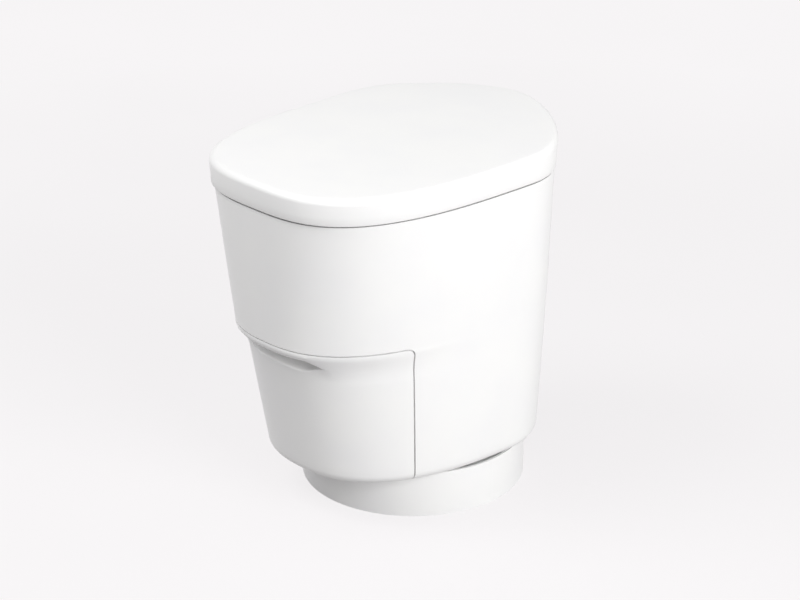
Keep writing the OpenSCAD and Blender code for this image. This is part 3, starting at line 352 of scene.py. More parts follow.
# Glass-epoxy laminate under solder mask: deep green with a gloss.
SOLDER_MASK = Finish("solder_mask", "board_green", "1C5A33", "174E2B", 0.3, 0.05, ior=1.55,
                     cloud=5.0, grain=0.7, relief=0.02, coat=0.3)


# Making pieces

def sheet_of(turns: Sequence[float], rows: Sequence[Row]) -> BMesh:
    """Wraps a grid round the upright axis, so that each of its rows follows a curve.

    Args:
        turns: Angles of the columns, over one full turn.
        rows: The curves, each from an angle to a point in mm, from one end to the other.

    Returns:
        The sheet, with its sides joined and its poles closed, and its faces not turned yet.
    """
    made = bmesh.new()
    bmesh.ops.create_grid(made, x_segments=len(turns), y_segments=len(rows) - 1, size=0.5)
    for vert in made.verts:
        column = round((vert.co.x + 0.5) * len(turns)) % len(turns)
        row = round((vert.co.y + 0.5) * (len(rows) - 1))
        vert.co = rows[row](turns[column]) * MM
    bmesh.ops.remove_doubles(made, verts=made.verts, dist=WELD)
    bmesh.ops.dissolve_degenerate(made, edges=made.edges, dist=TOUCH)
    return made


def face_out(made: BMesh) -> None:
    """Turns a closed mesh's faces outwards."""
    bmesh.ops.recalc_face_normals(made, faces=made.faces)
    if made.calc_volume(signed=True) < 0:
        bmesh.ops.reverse_faces(made, faces=made.faces)


def face_away(made: BMesh, axis_y: float) -> None:
    """Turns an open shell's faces away from the upright line at x 0 and the y, in mm."""
    bmesh.ops.recalc_face_normals(made, faces=made.faces)
    lean = 0.0
    for face in made.faces:
        out = face.calc_center_median() - Vector((0, axis_y * MM, 0))
        lean += face.calc_area() * (face.normal.x * out.x + face.normal.y * out.y)
    if lean < 0:
        bmesh.ops.reverse_faces(made, faces=made.faces)


def mesh_of(made: BMesh, name: str, material: Material) -> Mesh:
    """Turns a bmesh into a mesh of one material, and frees the bmesh."""
    mesh = bpy.data.meshes.new(name)
    made.to_mesh(mesh)
    made.free()
    mesh.materials.append(material)
    return mesh


def add_object(name: str, data: ID) -> Object:
    """Puts a mesh, a lamp or a camera into the scene."""
    added = bpy.data.objects.new(name, data)
    bpy.context.scene.collection.objects.link(added)
    return added


def place_piece(made: BMesh, name: str, body: Body, finish: Finish,
                stands_for: Iterable[str] = (), wall: float = 0.0, edge: float = 0.0) -> Object:
    """Turns a mesh into a piece of the model.

    Args:
        made: The mesh, in metres and in place.
        name: The piece's name.
        body: The body it rides on.
        finish: Its material.
        stands_for: The CAD nodes that it replaces.
        wall: Thickness in mm that an open shell gets on its inner side, or 0.
        edge: Width in mm of the rounding on its sharp edges, or 0.

    Returns:
        The object.
    """
    mesh = mesh_of(made, name, finish.material())
    mesh.shade_smooth()
    piece = add_object(name, mesh)
    if wall:
        shell = piece.modifiers.new("wall", "SOLIDIFY")
        shell.thickness = wall * MM
        shell.offset = -1.0
    if edge:
        bevel = piece.modifiers.new("edges", "BEVEL")
        bevel.width = edge * MM
        bevel.segments = 2
        bevel.limit_method = "ANGLE"
        bevel.angle_limit = math.radians(SHARP)
        bevel.harden_normals = True
    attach(piece, body.value)
    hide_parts(*stands_for)
    log.info("%s: %d faces, %s", name, len(mesh.polygons), finish.name)
    return piece


def dress(finish: Finish, nodes: Iterable[str]) -> None:
    """Gives CAD nodes a finish in place of their plain colour.

    Args:
        finish: The material.
        nodes: The nodes' names.
    """
    for name in nodes:
        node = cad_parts[name]
        if not node.material_slots:
            node.data.materials.append(finish.material())
        for slot in node.material_slots:
            slot.material = finish.material()
        log.info("%s: CAD node, %s", name, finish.name)


# Body shell and drawer front

@dataclass(frozen=True)
class Skin:
    """Outer skin of the toilet's body; sizes in mm.

    It widens slowly from the floor to the rim. On the drawer's front it drops back from a step
    under the seam through a hollow flare to a plain lower wall.
    """

    half_width: float = 194.0
    front_reach: float = 337.0
    back_reach: float = 178.0
    middle_y: float = 38.0
    floor_z: float = 70.0
    flare_z: float = 238.0
    seam_z: float = 287.0
    rim_z: float = 484.0
    rim_inset: float = 4.0
    seam_side_in: float = 15.0
    foot_side_in: float = 25.0
    seam_back_in: float = 13.0
    foot_back_in: float = 34.0
    seam_front_in: float = 16.5
    knee_front_in: float = 42.0
    foot_front_in: float = 73.0
    foot_square: float = 2.4
    knee_square: float = 2.5
    seam_square: float = 2.51
    rim_square: float = 3.0
    foot_back_square: float = 1.9
    rim_back_square: float = 1.68
    lip_height: float = 12.5
    flare_power: float = 2.4

    def upper_front(self, z: float) -> float:
        """Reach of the front above the seam."""
        share = ramp(z, self.seam_z, self.rim_z)
        return self.front_reach - mix(self.seam_front_in, self.rim_inset, share)

    def lower_front(self, z: float) -> float:
        """Reach of the front under the flare."""
        share = ramp(z, self.floor_z, self.flare_z)
        return self.front_reach - mix(self.foot_front_in, self.knee_front_in, share)

    def flare(self, z: float) -> float:
        """Share of the step that the flare has made up at a height."""
        return ramp(z, self.flare_z, self.seam_z - self.lip_height / 2) ** self.flare_power

    def tapered(self, z: float, foot_in: float, seam_in: float) -> float:
        """Inset that runs from the foot to the seam, and from the seam to the rim."""
        if z > self.seam_z:
            return mix(seam_in, self.rim_inset, ramp(z, self.seam_z, self.rim_z))
        return mix(foot_in, seam_in, ramp(z, self.floor_z, self.seam_z))

    def front(self, z: float) -> float:
        """Reach of the front at any height."""
        if z > self.seam_z:
            return self.upper_front(z)
        return mix(self.lower_front(z), self.upper_front(self.seam_z), self.flare(z))

    def front_square(self, z: float) -> float:
        """Squareness of the front half."""
        if z > self.seam_z:
            return mix(self.seam_square, self.rim_square, ramp(z, self.seam_z, self.rim_z))
        if z > self.flare_z:
            return mix(self.knee_square, self.seam_square, self.flare(z))
        return mix(self.foot_square, self.knee_square, ramp(z, self.floor_z, self.flare_z))

    def outline(self, z: float) -> Outline:
        """Level outline of the skin at a height."""
        side = self.half_width - self.tapered(z, self.foot_side_in, self.seam_side_in)
        back = self.back_reach - self.tapered(z, self.foot_back_in, self.seam_back_in)
        share = ramp(z, self.floor_z, self.rim_z)
        return Outline(side, self.front(z), back, self.front_square(z),
                       mix(self.foot_back_square, self.rim_back_square, share), self.middle_y)


@dataclass(frozen=True)
class FingerLip:
    """Lip in the middle of the drawer's top edge, and the pocket for the fingers under it.

    The flare is fuller round the lip than further out. The pocket is a slot in the wall under
    the lip, whose upper and lower edge meet at two tips. Sizes in mm.
    """

    skin: Skin
    half: float = 90.0
    tip_dip: float = 14.0
    pocket_low: float = 250.0
    pocket_depth: float = 23.0
    floor_height: float = 10.0
    tip_power: float = 1.5
    run_out: float = 8.0
    # How far before the tips the lip's edge dips, the pocket's lower edge climbs, the pocket gets
    # shallow and the wall passes into the flare
    dip_run: float = 27.0
    climb_run: float = 50.0
    shallow_run: float = 22.0
    wall_run: float = 30.0
    # How far past the tips the flare gets fuller, and how far before them it is fullest
    fuller_run: float = 50.0
    full_run: float = 5.0
    tip_slit: float = 0.8

    def edge_z(self) -> float:
        """Height of the lip's lower edge in its middle."""
        return self.skin.seam_z - self.skin.lip_height

    def edge_at(self, x: float) -> float:
        """Height of the lip's lower edge at a distance from the middle."""
        dip = smooth(ramp(abs(x), self.half - self.dip_run, self.half + 1))
        return self.edge_z() - self.tip_dip * dip

    def low_at(self, x: float) -> float:
        """Height of the pocket's lower edge, which climbs to the lip's at the tips."""
        climb = ramp(abs(x), self.half - self.climb_run, self.half) ** 2
        return mix(self.pocket_low, self.edge_at(x) - self.tip_slit, climb)

    def height(self, x: float, row_z: float) -> float:
        """Height of a row, which follows the edges of the lip and of the pocket.

        Args:
            x: Distance from the middle.
            row_z: Height that the row has in the middle.

        Returns:
            The height in mm.
        """
        base = self.skin.flare_z - self.run_out
        top = self.skin.seam_z - 2
        if row_z >= self.edge_z():
            return mix(self.edge_at(x), max(row_z, top), ramp(row_z, self.edge_z(), top))
        if row_z >= self.pocket_low:
            return mix(self.low_at(x), self.edge_at(x), ramp(row_z, self.pocket_low, self.edge_z()))
        return mix(base, self.low_at(x), ramp(row_z, base, self.pocket_low))

    def wall_front(self, z: float) -> float:
        """Reach of the lower wall, also where it would run on above the flare's foot."""
        skin = self.skin
        share = (z - skin.floor_z) / (skin.flare_z - skin.floor_z)
        return skin.front_reach - mix(skin.foot_front_in, skin.knee_front_in, share)

    def full_front(self, x: float, z: float) -> float:
        """Reach of the flare."""
        skin = self.skin
        if not skin.flare_z < z < skin.seam_z:
            return skin.front(z)
        share = ramp(z, skin.flare_z, skin.seam_z - skin.lip_height / 2)
        near = smooth(ramp(abs(x), self.half + self.fuller_run, self.half - self.full_run))
        power = mix(skin.flare_power, self.tip_power, near)
        return mix(skin.lower_front(skin.flare_z), skin.upper_front(skin.seam_z), share ** power)

    def front(self, x: float, z: float, row_z: float) -> float:
        """Reach of the drawer's front with the lip and the pocket in it.

        Args:
            x: Distance from the middle.
            z: Height of the point.
            row_z: Height that the point's row has in the middle.

        Returns:
            The reach in mm.
        """
        if row_z >= self.edge_z():
            return self.full_front(x, z)
        inward = smooth(ramp(row_z, self.pocket_low - 1, self.pocket_low + self.floor_height))
        inward *= smooth(ramp(abs(x), self.half + 1, self.half - self.shallow_run))
        wall = self.wall_front(z) - self.pocket_depth * inward
        share = smooth(ramp(abs(x), self.half + 2, self.half - self.wall_run))
        return mix(self.full_front(x, z), wall, share)

    def at(self, turn: float, row_z: float) -> Vector:
        """Point of the drawer's skin.

        Args:
            turn: Angle of the column.
            row_z: Height that the point's row has in the middle.

        Returns:
            The point in mm.
        """
        plain = self.skin.outline(row_z).at(turn, row_z)
        if math.sin(turn) >= 0 or not self.skin.flare_z - self.run_out < row_z < self.skin.seam_z:
            return plain
        z = self.height(plain.x, row_z)
        outline = self.skin.outline(z)
        x = outline.at(turn, z).x
        reach = self.front(x, z, row_z)
        y = self.skin.middle_y + reach * bend(math.sin(turn), outline.front_square)
        return Vector((x, y, z))


@dataclass(frozen=True)
class DrawerSeam:
    """Seam round the drawer's front: level, round a corner, then down with a lean to the back."""

    top_z: float = 287.0
    floor_z: float = 70.0
    back_y: float = -148.0
    lean: float = 17.0
    corner: float = 13.0
    gap: float = 2.0
    corner_cuts: int = 9

    def tilt(self) -> float:
        """Angle by which the seam leans on its way down."""
        return math.atan(self.lean / (self.top_z - self.floor_z))

    def centre(self) -> Vector:
        """Middle of the corner's arc, in mm."""
        tilt = self.tilt()
        z = self.top_z - self.corner
        reach = self.top_z * math.sin(tilt) + self.back_y * math.cos(tilt)
        return Vector((0, (reach - self.corner - z * math.sin(tilt)) / math.cos(tilt), z))

    def normals(self) -> list[Vector]:
        """Directions out of the drawer's share, from backwards round to upwards."""
        turns = [mix(self.tilt(), math.pi / 2, step / self.corner_cuts)
                 for step in range(self.corner_cuts + 1)]
        return [Vector((0, math.cos(turn), math.sin(turn))) for turn in turns]

    def holds(self, point: Vector, grown: float) -> bool:
        """Tells whether a point in mm lies in the drawer's share, grown by some mm."""
        away = point - self.centre()
        return all(away.dot(normal) < self.corner + grown for normal in self.normals())

    def split(self, made: BMesh, grown: float, keep_inside: bool) -> None:
        """Cuts a shell along the seam and keeps one side.

        Args:
            made: The shell, in metres.
            grown: How far outside the seam's middle the cut runs, in mm.
            keep_inside: True to keep the drawer's share.
        """
        centre = self.centre()
        normals = self.normals()
        for normal in normals:
            plain = normal in (normals[0], normals[-1])
            near = [f for f in made.faces if self.is_near(f.calc_center_median() / MM, plain)]
            parts = set(near)
            for face in near:
                parts.update(face.edges, face.verts)
            bmesh.ops.bisect_plane(
                made, geom=list(parts), dist=TOUCH, plane_no=normal,
                plane_co=(centre + normal * (self.corner + grown)) * MM)
        gone = [f for f in made.faces
                if self.holds(f.calc_center_median() / MM, grown) != keep_inside]
        bmesh.ops.delete(made, geom=gone, context="FACES")

    def is_near(self, point: Vector, plain: bool) -> bool:
        """Tells whether a face is near enough to the seam, or to its corner, to be cut."""
        away = point - self.centre()
        if plain:
            return away.y < 5 * self.corner and away.z < 3 * self.corner
        return math.hypot(away.y, away.z) < 2.5 * self.corner


@dataclass
class Shell:
    """Body shell and drawer front, cut from one skin; sizes in mm."""

    skin: Skin
    lip: FingerLip
    seam: DrawerSeam
    columns: int = 300
    foot_radius: float = 15.0
    hub_hole: float = 30.0
    wall: float = 3.5
    edge: float = 0.9
    ledge_width: float = 7.0
    ledge_height: float = 3.5
    flange_gap: float = 0.4
    flange_reach: float = 5.0
    flange_wall: float = 1.5
    deck_z: float = 466.0
    middle_deck_z: float = 292.0
    # Distances from the middle between which the columns lie closer together, and how much closer
    tips_from: float = 52.0
    tips_to: float = 92.0
    tips_weight: float = 3.0

    def turns(self) -> list[float]:
        """Columns of the skin, closer together round the lip's tips."""
        def weight(point: Vector) -> float:
            """Spacing weight at a point of the outline."""
            at_tips = point.y < 0 and self.tips_from < abs(point.x) < self.tips_to
            return self.tips_weight if at_tips else 1.0
        return even_turns(self.skin.outline(self.skin.seam_z), self.columns, weight)

    def foot_rows(self) -> list[Row]:
        """Rows of the floor, from the hub's hole to the rounded lower edge."""
        def hole(turn: float) -> Vector:
            """Rim of the hub's hole."""
            return Vector((self.hub_hole * math.cos(turn), self.hub_hole * math.sin(turn),
                           self.skin.floor_z))

        def rounded(lift: float) -> Row:
            """Row of the rounded edge at an angle of the rounding."""
            z = self.skin.floor_z + self.foot_radius * (1 - math.cos(lift))
            return level(self.skin.outline(z).inset(self.foot_radius * (1 - math.sin(lift))), z)
        return [hole] + [rounded(math.pi / 2 * step / 8) for step in range(9)]

    def heights(self) -> list[float]:
        """Heights of the rows above the rounded edge, closest in the flare."""
        skin = self.skin
        wall = [95.0, 110.0, 130.0, 150.0, 170.0, 190.0, 208.0, 220.0]
        low = self.lip.pocket_low
        edge = self.lip.edge_z()
        flare = [mix(skin.flare_z - 10, low - 1, step / 9) for step in range(10)]
        flare += [low + step for step in range(10)]
        lip = [edge - 7, edge - 5, edge - 3, edge - 1.6, edge - 0.8, edge, edge + 2, edge + 4,
               edge + 7, edge + 9.5, skin.seam_z]
        upper = [291.0, 296.0] + [mix(302.0, skin.rim_z, step / 12) for step in range(13)]
        return wall + flare + lip + upper

    def build_housing(self) -> None:
        """Makes the body shell."""
        rows = self.foot_rows() + [level(self.skin.outline(z), z) for z in self.heights()]
        made = sheet_of(self.turns(), rows)
        self.seam.split(made, self.seam.gap / 2, keep_inside=False)
        face_away(made, self.skin.middle_y)
        place_piece(made, "body_shell", Body.BODY, SATIN_ABS, ["housing"], wall=self.wall,
                    edge=self.edge)

    def build_flange(self) -> None:
        """Makes the strip behind the drawer's seam, which stops the view into the body."""
        inset = self.wall + self.flange_gap
        rows = [level(self.skin.outline(z).inset(inset), z)
                for z in [75.0, 90.0] + self.heights() if z < 300]
        made = sheet_of(self.turns(), rows)
        self.seam.split(made, -self.flange_reach, keep_inside=False)
        self.seam.split(made, self.flange_reach, keep_inside=True)
        face_away(made, self.skin.middle_y)
        place_piece(made, "seam_flange", Body.BODY, SATIN_ABS, wall=self.flange_wall)

    def build_ledge(self, name: str, top_z: float) -> None:
        """Makes one ledge that runs round the shell's inside under a deck.

        Args:
            name: The piece's name.
            top_z: Height of its upper side.
        """
        low_z = top_z - self.ledge_height
        outer = self.wall - 0.3
        inner = self.wall + self.ledge_width
        section = [(low_z, outer), (low_z, inner), (top_z, inner), (top_z, outer), (low_z, outer)]
        rows = [level(self.skin.outline(z).inset(inset), z) for z, inset in section]
        made = sheet_of(self.turns()[::2], rows)
        face_out(made)
        place_piece(made, name, Body.BODY, SATIN_ABS)

    def build_drawer_front(self) -> None:
        """Makes the drawer's front with its lip and finger pocket."""
        rows = self.foot_rows()
        rows += [lambda turn, z=z: self.lip.at(turn, z) for z in self.heights()]
        made = sheet_of(self.turns(), rows)
        self.seam.split(made, -self.seam.gap / 2, keep_inside=True)
        face_away(made, self.skin.middle_y)
        place_piece(made, "drawer_shell", Body.DRAWER, SATIN_ABS, ["drawer_front"],
                    wall=self.wall, edge=self.edge)

    def build(self) -> None:
        """Makes the shell's pieces."""
        self.build_housing()
        self.build_flange()
        self.build_ledge("deck_ledge", self.deck_z)
        self.build_ledge("middle_deck_ledge", self.middle_deck_z)
        self.build_drawer_front()


# Lid, seat, liner and bin

@dataclass
class Lid:
    """Hollow lid with a crowned top and a rounded edge; sizes in mm."""

    skin: Skin
    low_z: float = 487.0
    height: float = 38.0
    crown: float = 2.5
    edge_radius: float = 9.0
    wall: float = 3.5
    draft: float = 1.5
    square: float = 3.1
    rise: float = 10.5
    rise_from_y: float = -60.0
    columns: int = 256

    def outline(self) -> Outline:
        """Widest outline of the lid."""
        skin = self.skin
        return Outline(skin.half_width, skin.front_reach, skin.back_reach, self.square,
                       skin.rim_back_square, skin.middle_y)

    def raised(self, row: Row) -> Row:
        """Row that climbs towards the back as the lid's top does."""
        back_y = self.skin.middle_y + self.skin.back_reach

        def at(turn: float) -> Vector:
            """Point of the raised row."""
            point = row(turn)
            point.z += self.rise * ramp(point.y, self.rise_from_y, back_y) ** 2
            return point
        return at

    def rows(self) -> list[Row]:
        """Rows from the middle of the top over the edge to the middle of the inside."""
        outline = self.outline()
        top_z = self.low_z + self.height
        ceiling_z = top_z - self.wall
        crest = outline.inset(self.edge_radius)
        ceiling = outline.inset(self.wall + 6)
        rows = [self.raised(level(crest, top_z + self.crown * (1 - share ** 3), share))
                for share in (0, 0.1, 0.25, 0.4, 0.55, 0.7, 0.82, 0.9, 0.96)]
        for step in range(11):
            lift = math.pi / 2 * (1 - step / 10)
            z = top_z - self.edge_radius * (1 - math.sin(lift))
            inset = self.edge_radius * (1 - math.cos(lift))
            rows.append(self.raised(level(outline.inset(inset), z)))
        inner = self.wall + self.draft
        section = [(self.low_z + 12, self.draft * 0.6), (self.low_z + 0.9, self.draft),
                   (self.low_z + 0.25, self.draft + 0.3), (self.low_z, self.draft + 1),
                   (self.low_z, inner)]
        rows += [level(outline.inset(inset), z) for z, inset in section]
        rows += [self.raised(level(outline.inset(self.wall), ceiling_z - 6)),
                 self.raised(level(outline.inset(self.wall + 1.5), ceiling_z - 2))]
        rows += [self.raised(level(ceiling, ceiling_z, share))
                 for share in (1.0, 0.8, 0.6, 0.4, 0.2, 0)]
        return rows

    def build(self) -> None:
        """Makes the lid and dresses what it carries."""
        made = sheet_of(even_turns(self.outline(), self.columns), self.rows())
        face_out(made)
        place_piece(made, "lid_cover", Body.LID, SATIN_ABS, ["lid_shell"])
        dress(SATIN_ABS, ["lid_panel"])
        dress(ZINC_SHEET, ["lid_arms"])
        dress(RUBBER, ["lid_bumpers"])


@dataclass
class Seat:
    """Seat ring with a rolled inner and outer edge; sizes in mm."""

    middle_y: float = 38.0
    bowl_y: float = -62.0
    low_z: float = 477.0
    thickness: float = 22.0
    half_width: float = 170.0
    front_reach: float = 313.0
    back_reach: float = 88.0
    square: float = 3.0
    opening_x: float = 103.0
    opening_y: float = 138.0
    # Width and height of the rolled outer edge, the same of the inner one, and the fall between
    outer_roll: tuple[float, float] = (14.0, 9.0)
    inner_roll: tuple[float, float] = (16.0, 11.0)
    fall: float = 1.5
    oval_growth: float = 0.75
    columns: int = 224

    def rows(self) -> list[Row]:
        """Rows of the ring's section, once round from its underside."""
        outer = Outline(self.half_width, self.front_reach, self.back_reach, self.square,
                        self.square, self.middle_y)
        top_z = self.low_z + self.thickness
        outer_width, outer_height = self.outer_roll
        inner_width, inner_height = self.inner_roll

        def inner(z: float, grown: float) -> Row:
            """Row on the oval round the opening."""
            half_x = self.opening_x + grown
            half_y = self.opening_y + self.oval_growth * grown
            return lambda turn: Vector((half_x * math.cos(turn),
                                        self.bowl_y + half_y * math.sin(turn), z))
        rows = [level(outer.inset(inset), self.low_z + lift)
                for lift, inset in ((0, 3), (1, 1), (3.5, 0))]
        lifts = [math.pi / 2 * step / 8 for step in range(9)]
        rows += [level(outer.inset(outer_width * (1 - math.cos(lift))),
                       top_z - outer_height * (1 - math.sin(lift))) for lift in lifts]
        crest = outer.inset(outer_width)
        for share in (0.3, 0.6, 0.85):
            z = top_z - self.fall * share * share
            rows.append(lambda turn, z=z, share=share:
                        crest.at(turn, z).lerp(inner(z, inner_width)(turn), share))
        rows += [inner(top_z - self.fall - inner_height * (1 - math.cos(lift)),
                       inner_width * (1 - math.sin(lift))) for lift in lifts]
        return rows + [inner(self.low_z + 1, 0), inner(self.low_z, 1), rows[0]]

    def build(self) -> None:
        """Makes the seat and dresses what it carries."""
        made = sheet_of(round_turns(self.columns), self.rows())
        face_out(made)
        place_piece(made, "seat_ring", Body.SEAT, GLOSS_SEAT, ["seat"])
        dress(ZINC_SHEET, ["seat_arms"])
        dress(RUBBER, ["seat_bumpers"])


@dataclass
class Liner:
    """Film bag that hangs in the bowl, with its cartridge; sizes in mm."""

    half_x: float = 96.9
    half_y: float = 131.9
    bowl_y: float = -62.0
    jaw_y: float = -30.0
    top_z: float = 471.5
    low_z: float = 388.0
    thickness: float = 0.3
    columns: int = 360
    # Share of the bowl's size and of the bag's depth, from the rim to the gathered bottom
    profile: tuple[tuple[float, float], ...] = (
        (1.0, 0.0), (0.997, 0.08), (0.985, 0.2), (0.96, 0.33), (0.925, 0.46), (0.875, 0.58),
        (0.815, 0.69), (0.74, 0.785), (0.65, 0.86), (0.54, 0.915), (0.42, 0.95), (0.3, 0.97),
        (0.18, 0.985), (0.08, 0.995), (0.0, 1.0))

    def crease(self, turn: float, depth: float) -> float:
        """Share of the radius that the film's pleats take, none at the rim and most low down."""
        pleats = (math.sin(17 * turn + 2.2 * math.sin(3 * turn)) ** 2
                  + 0.6 * math.sin(29 * turn + 5 * depth) ** 2
                  + 0.35 * math.sin(47 * turn + 1.7 * math.sin(5 * turn) - 8 * depth) ** 2)
        return 0.042 * smooth(ramp(depth, 0.02, 0.75)) * pleats

    def at(self, turn: float, size: float, depth: float) -> Vector:
        """Point of the bag.

        Args:
            turn: Angle of the column.
            size: Share of the bowl's size.
            depth: Share of the bag's depth.

        Returns:
            The point in mm.
        """
        size *= 1 - self.crease(turn, depth)
        waves = 0.9 * depth * math.sin(9 * turn + 14 * depth) * (1 - depth)
        return Vector((self.half_x * size * math.cos(turn),
                       mix(self.jaw_y, self.bowl_y, size) + self.half_y * size * math.sin(turn),
                       mix(self.top_z, self.low_z, depth) + waves))

    def build(self) -> None:
        """Makes the bag and dresses the cartridge."""
        rows = []
        for (size, depth), (next_size, next_depth) in zip(self.profile, self.profile[1:]):
            for part in (0.0, 1 / 3, 2 / 3):
                rows.append(lambda turn, size=mix(size, next_size, part),
                            depth=mix(depth, next_depth, part): self.at(turn, size, depth))
        rows.append(lambda turn: self.at(turn, *self.profile[-1]))
        made = sheet_of(round_turns(self.columns), rows)
        face_away(made, self.bowl_y)
        bag = place_piece(made, "film_bag", Body.BODY, FILM, ["liner_film"], wall=self.thickness)
        dress(GREY_PP, ["liner_cartridge", "cartridge_cap", "bowl_funnel"])
        dress(FILM, ["film_pack"])


@dataclass
class Bin:
    """Drawer's inside: bin, bag ring, tray and catch; sizes in mm."""

    middle_y: float = -60.0
    square: float = 4.0
    half_x: float = 138.0
    half_y: float = 156.0
    low_z: float = 91.8
    height: float = 176.0
    wall: float = 2.5
    columns: int = 192

    def outline(self, inset_x: float, inset_y: float) -> Outline:
        """Level outline of the bin, inset from the rim's outside."""
        return Outline(self.half_x - inset_x, self.half_y - inset_y, self.half_y - inset_y,
                       self.square, self.square, self.middle_y)

    def rows(self) -> list[Row]:
        """Rows from the middle of the underside over the rim to the middle of the inside."""
        low_z, wall = self.low_z, self.wall
        top_z = low_z + self.height
        centre = self.outline(14, 27)
        section = ((14, 27, low_z), (11.5, 24, low_z + 1.5), (10, 22, low_z + 6),
                   (3, 3, top_z - 7), (3, 3, top_z - 6), (0.4, 0.4, top_z - 6),
                   (0, 0, top_z - 5.6), (0, 0, top_z - 0.5), (0.5, 0.5, top_z), (5, 5, top_z),
                   (3 + wall, 3 + wall, top_z - 1), (10 + wall, 22 + wall, low_z + 8),
                   (13 + wall, 26 + wall, low_z + wall))
        return ([level(centre, low_z, share) for share in (0, 0.5, 0.9)]
                + [level(self.outline(inset_x, inset_y), z) for inset_x, inset_y, z in section]
                + [level(centre, low_z + wall, share) for share in (0.8, 0.4, 0)])

    def build(self) -> None:
        """Makes the bin and dresses the rest of the drawer."""
        made = sheet_of(even_turns(self.outline(0, 0), self.columns), self.rows())
        face_out(made)
        place_piece(made, "bin_tub", Body.DRAWER, DARK_PP, ["waste_bin"])
        dress(GREY_PP, ["bag_ring", "drawer_tray"])
        dress(ZINC_SHEET, ["drawer_rails", "drawer_stop"])
        dress(ZINC_SCREW, ["drawer_screws"])
        dress(POWDER_BLACK, ["drawer_magnet"])


@dataclass
class Mechanism:
    """What sits inside: foot, decks, hinge, sealing unit and electronics."""

    plan: tuple[tuple[Finish, tuple[str, ...]], ...] = (
        (SATIN_ABS, ("foot_ring", "top_deck")),
        (ACETAL, ("glide_ring", "rack_left", "rack_right", "drive_pinion", "idle_pinion",
                  "roller_gear_left", "roller_gear_right")),
        (GREY_PP, ("swivel_hub", "middle_deck")),
        (ZINC_SHEET, ("hub_retainer", "seal_frame_front", "seal_frame_rear", "board_bracket",
                      "hinge_bracket")),
        (ZINC_SCREW, ("hub_screws", "deck_screws")),
        (GROUND_STEEL, ("guide_rods", "feed_roller_left", "feed_roller_right", "hinge_pin")),
        (ANODISED, ("jaw_left", "jaw_right")),
        (SILICONE, ("jaw_pad",)),
        (BRASS, ("heater_bar", "pinion_bushes")),
        (RUBBER, ("roller_sleeve_left", "roller_sleeve_right")),
        (POWDER_BLACK, ("jaw_motor", "feed_motor")),
        (SOLDER_MASK, ("control_board",)),
        (DARK_PP, ("power_inlet", "hinge_dampers")),
    )

    def build(self) -> None:
        """Dresses the CAD nodes."""
        for finish, nodes in self.plan:
            dress(finish, nodes)


# Studio

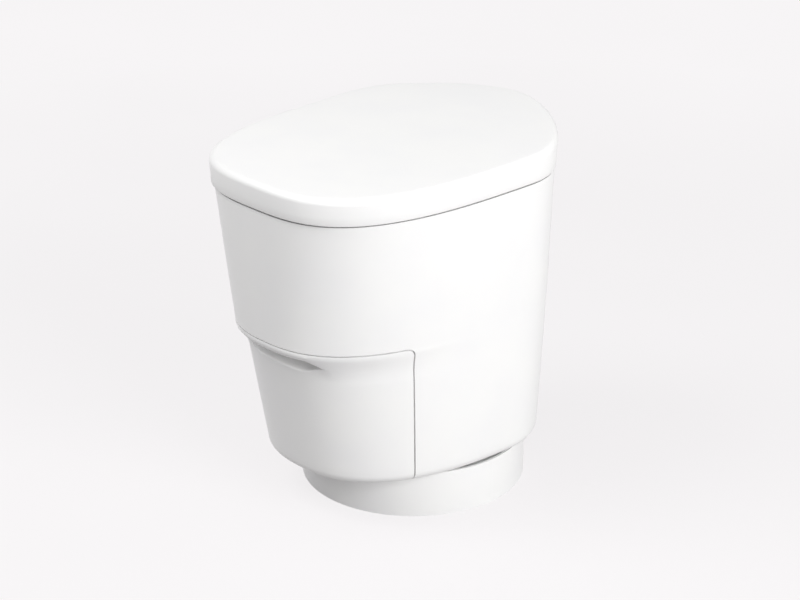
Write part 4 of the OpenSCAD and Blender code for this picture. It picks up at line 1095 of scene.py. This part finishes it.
@dataclass
class Studio:
    """Floor, lamps, backdrop and camera; camera angles and distance from the photograph."""

    azimuth: float = 46.68
    elevation: float = 23.35
    distance: float = 3500.0
    focal_px: float = 2419.0
    shift_right: float = -19.2
    target: Place = (0.0, 0.0, 265.5)
    floor_half: float = 6.0
    world_strength: float = 0.41
    # Share of the floor's own glow by the object, and the distances in metres over which it grows
    floor_glow: float = 0.82
    glow_from: float = 0.8
    glow_to: float = 2.0
    photo_width: float = 800.0
    lamp_aim: Place = (0.0, 0.0, 0.3)
    # Name, place in metres, side in metres and power in watts
    lamps: tuple[tuple[str, Place, float, float], ...] = (
        ("key_lamp", (3.45, -0.25, 1.5), 2.2, 108.0),
        ("top_lamp", (-0.58, -1.6, 3.0), 1.3, 34.0),
        ("front_lamp", (-1.4, -2.0, 2.0), 1.2, 15.0),
    )

    def build_camera(self) -> None:
        """Places the camera at the photograph's viewing angle."""
        turn, lift = math.radians(self.azimuth), math.radians(self.elevation)
        back = Vector((math.sin(turn) * math.cos(lift), -math.cos(turn) * math.cos(lift),
                       math.sin(lift)))
        right = Vector((math.cos(turn), math.sin(turn), 0))
        eye = Vector(self.target) + back * self.distance + right * self.shift_right
        data = bpy.data.cameras.new("camera")
        data.sensor_width = 36.0
        data.lens = self.focal_px * data.sensor_width / self.photo_width
        data.clip_end = 50.0
        camera = add_object("camera", data)
        camera.location = eye * MM
        camera.rotation_euler = (-back).to_track_quat("-Z", "Y").to_euler()
        bpy.context.scene.camera = camera

    def seen_plain(self, tree: NodeTree) -> NodeSocket:
        """Adds nodes that tell rays from the camera, from gloss and through glass from the rest."""
        path = add_node(tree, "ShaderNodeLightPath", {}, {})
        seen = path.outputs["Is Camera Ray"]
        for ray in ("Is Glossy Ray", "Is Transmission Ray"):
            seen = add_node(tree, "ShaderNodeMath", {"operation": "MAXIMUM"},
                            {0: seen, 1: path.outputs[ray]}).outputs["Value"]
        return seen

    def build_world(self) -> None:
        """Makes the white surroundings, which light the object at less than their seen white."""
        world = bpy.data.worlds.new("studio")
        bpy.context.scene.world = world
        world.use_nodes = True
        tree = world.node_tree
        tree.nodes.clear()
        seen = add_node(tree, "ShaderNodeBackground",
                        {"Color": linear("F8F6F7"), "Strength": 1.0}, {})
        lit = add_node(tree, "ShaderNodeBackground",
                       {"Color": (1, 1, 1, 1), "Strength": self.world_strength}, {})
        both = add_node(tree, "ShaderNodeMixShader", {}, {
            0: self.seen_plain(tree), 1: lit.outputs[0], 2: seen.outputs[0]})
        add_node(tree, "ShaderNodeOutputWorld", {}, {"Surface": both.outputs[0]})

    def build_floor(self) -> None:
        """Lays a seamless floor, which looks paler than the light that it throws back."""
        material = bpy.data.materials.new("studio_floor")
        material.use_nodes = True
        tree = material.node_tree
        tree.nodes.clear()
        place = add_node(tree, "ShaderNodeTexCoord", {}, {})
        cloud = add_node(tree, "ShaderNodeTexNoise", {"Scale": 1.5},
                         {"Vector": place.outputs["Object"]})
        tones = add_tones(tree, cloud, ("F5F3F4", "F8F6F7"))
        pale = add_node(tree, "ShaderNodeBsdfDiffuse", {}, {"Color": tones})
        glow = add_node(tree, "ShaderNodeEmission", {"Strength": 1.0}, {"Color": tones})
        away = add_node(tree, "ShaderNodeVectorMath", {"operation": "LENGTH"},
                        {0: place.outputs["Object"]})
        share = add_node(tree, "ShaderNodeMapRange", {
            "From Min": self.glow_from, "From Max": self.glow_to,
            "To Min": self.floor_glow, "To Max": 1.0,
        }, {"Value": away.outputs["Value"]})
        seen = add_node(tree, "ShaderNodeMixShader", {}, {
            0: share.outputs["Result"], 1: pale.outputs[0], 2: glow.outputs[0]})
        grey = add_node(tree, "ShaderNodeBsdfDiffuse", {"Color": linear("979596")}, {})
        both = add_node(tree, "ShaderNodeMixShader", {}, {
            0: self.seen_plain(tree), 1: grey.outputs[0], 2: seen.outputs[0]})
        add_node(tree, "ShaderNodeOutputMaterial", {}, {"Surface": both.outputs[0]})
        made = bmesh.new()
        bmesh.ops.create_grid(made, x_segments=4, y_segments=4, size=self.floor_half)
        floor = add_object("studio_floor", mesh_of(made, "studio_floor", material))
        floor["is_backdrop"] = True

    def add_lamp(self, name: str, place: Place, size: float, power: float) -> None:
        """Hangs a square soft lamp that faces the object.

        Args:
            name: The lamp's name.
            place: Its place in metres.
            size: Its side in metres.
            power: Its power in watts.
        """
        data = bpy.data.lights.new(name, "AREA")
        data.size = size
        data.energy = power
        lamp = add_object(name, data)
        lamp.location = place
        aim = Vector(self.lamp_aim) - Vector(place)
        lamp.rotation_euler = aim.to_track_quat("-Z", "Y").to_euler()

    def build(self) -> None:
        """Sets up the studio."""
        self.build_camera()
        self.build_world()
        self.build_floor()
        for lamp in self.lamps:
            self.add_lamp(*lamp)
        bpy.context.scene.view_settings.view_transform = "Standard"


def write_sizes() -> None:
    """Sets the CAD box and the dressed model's box side by side, without keeping or writing them.
    """
    def plain(box: Iterable[Iterable[float]]) -> list[list[float]]:
        """Box as lists of numbers."""
        return [[round(float(value), 5) for value in corner] for corner in box]
    {"cad": plain(CAD_BOX), "visual": plain(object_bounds())}


def main() -> None:
    """Builds the toilet and its studio."""
    skin = Skin()
    for part in (Studio(), Shell(skin, FingerLip(skin), DrawerSeam()), Lid(skin), Seat(), Liner(),
                 Bin(), Mechanism()):
        log.info("building %s", type(part).__name__)
        part.build()
    write_sizes()


if __name__ == "__main__":
    main()
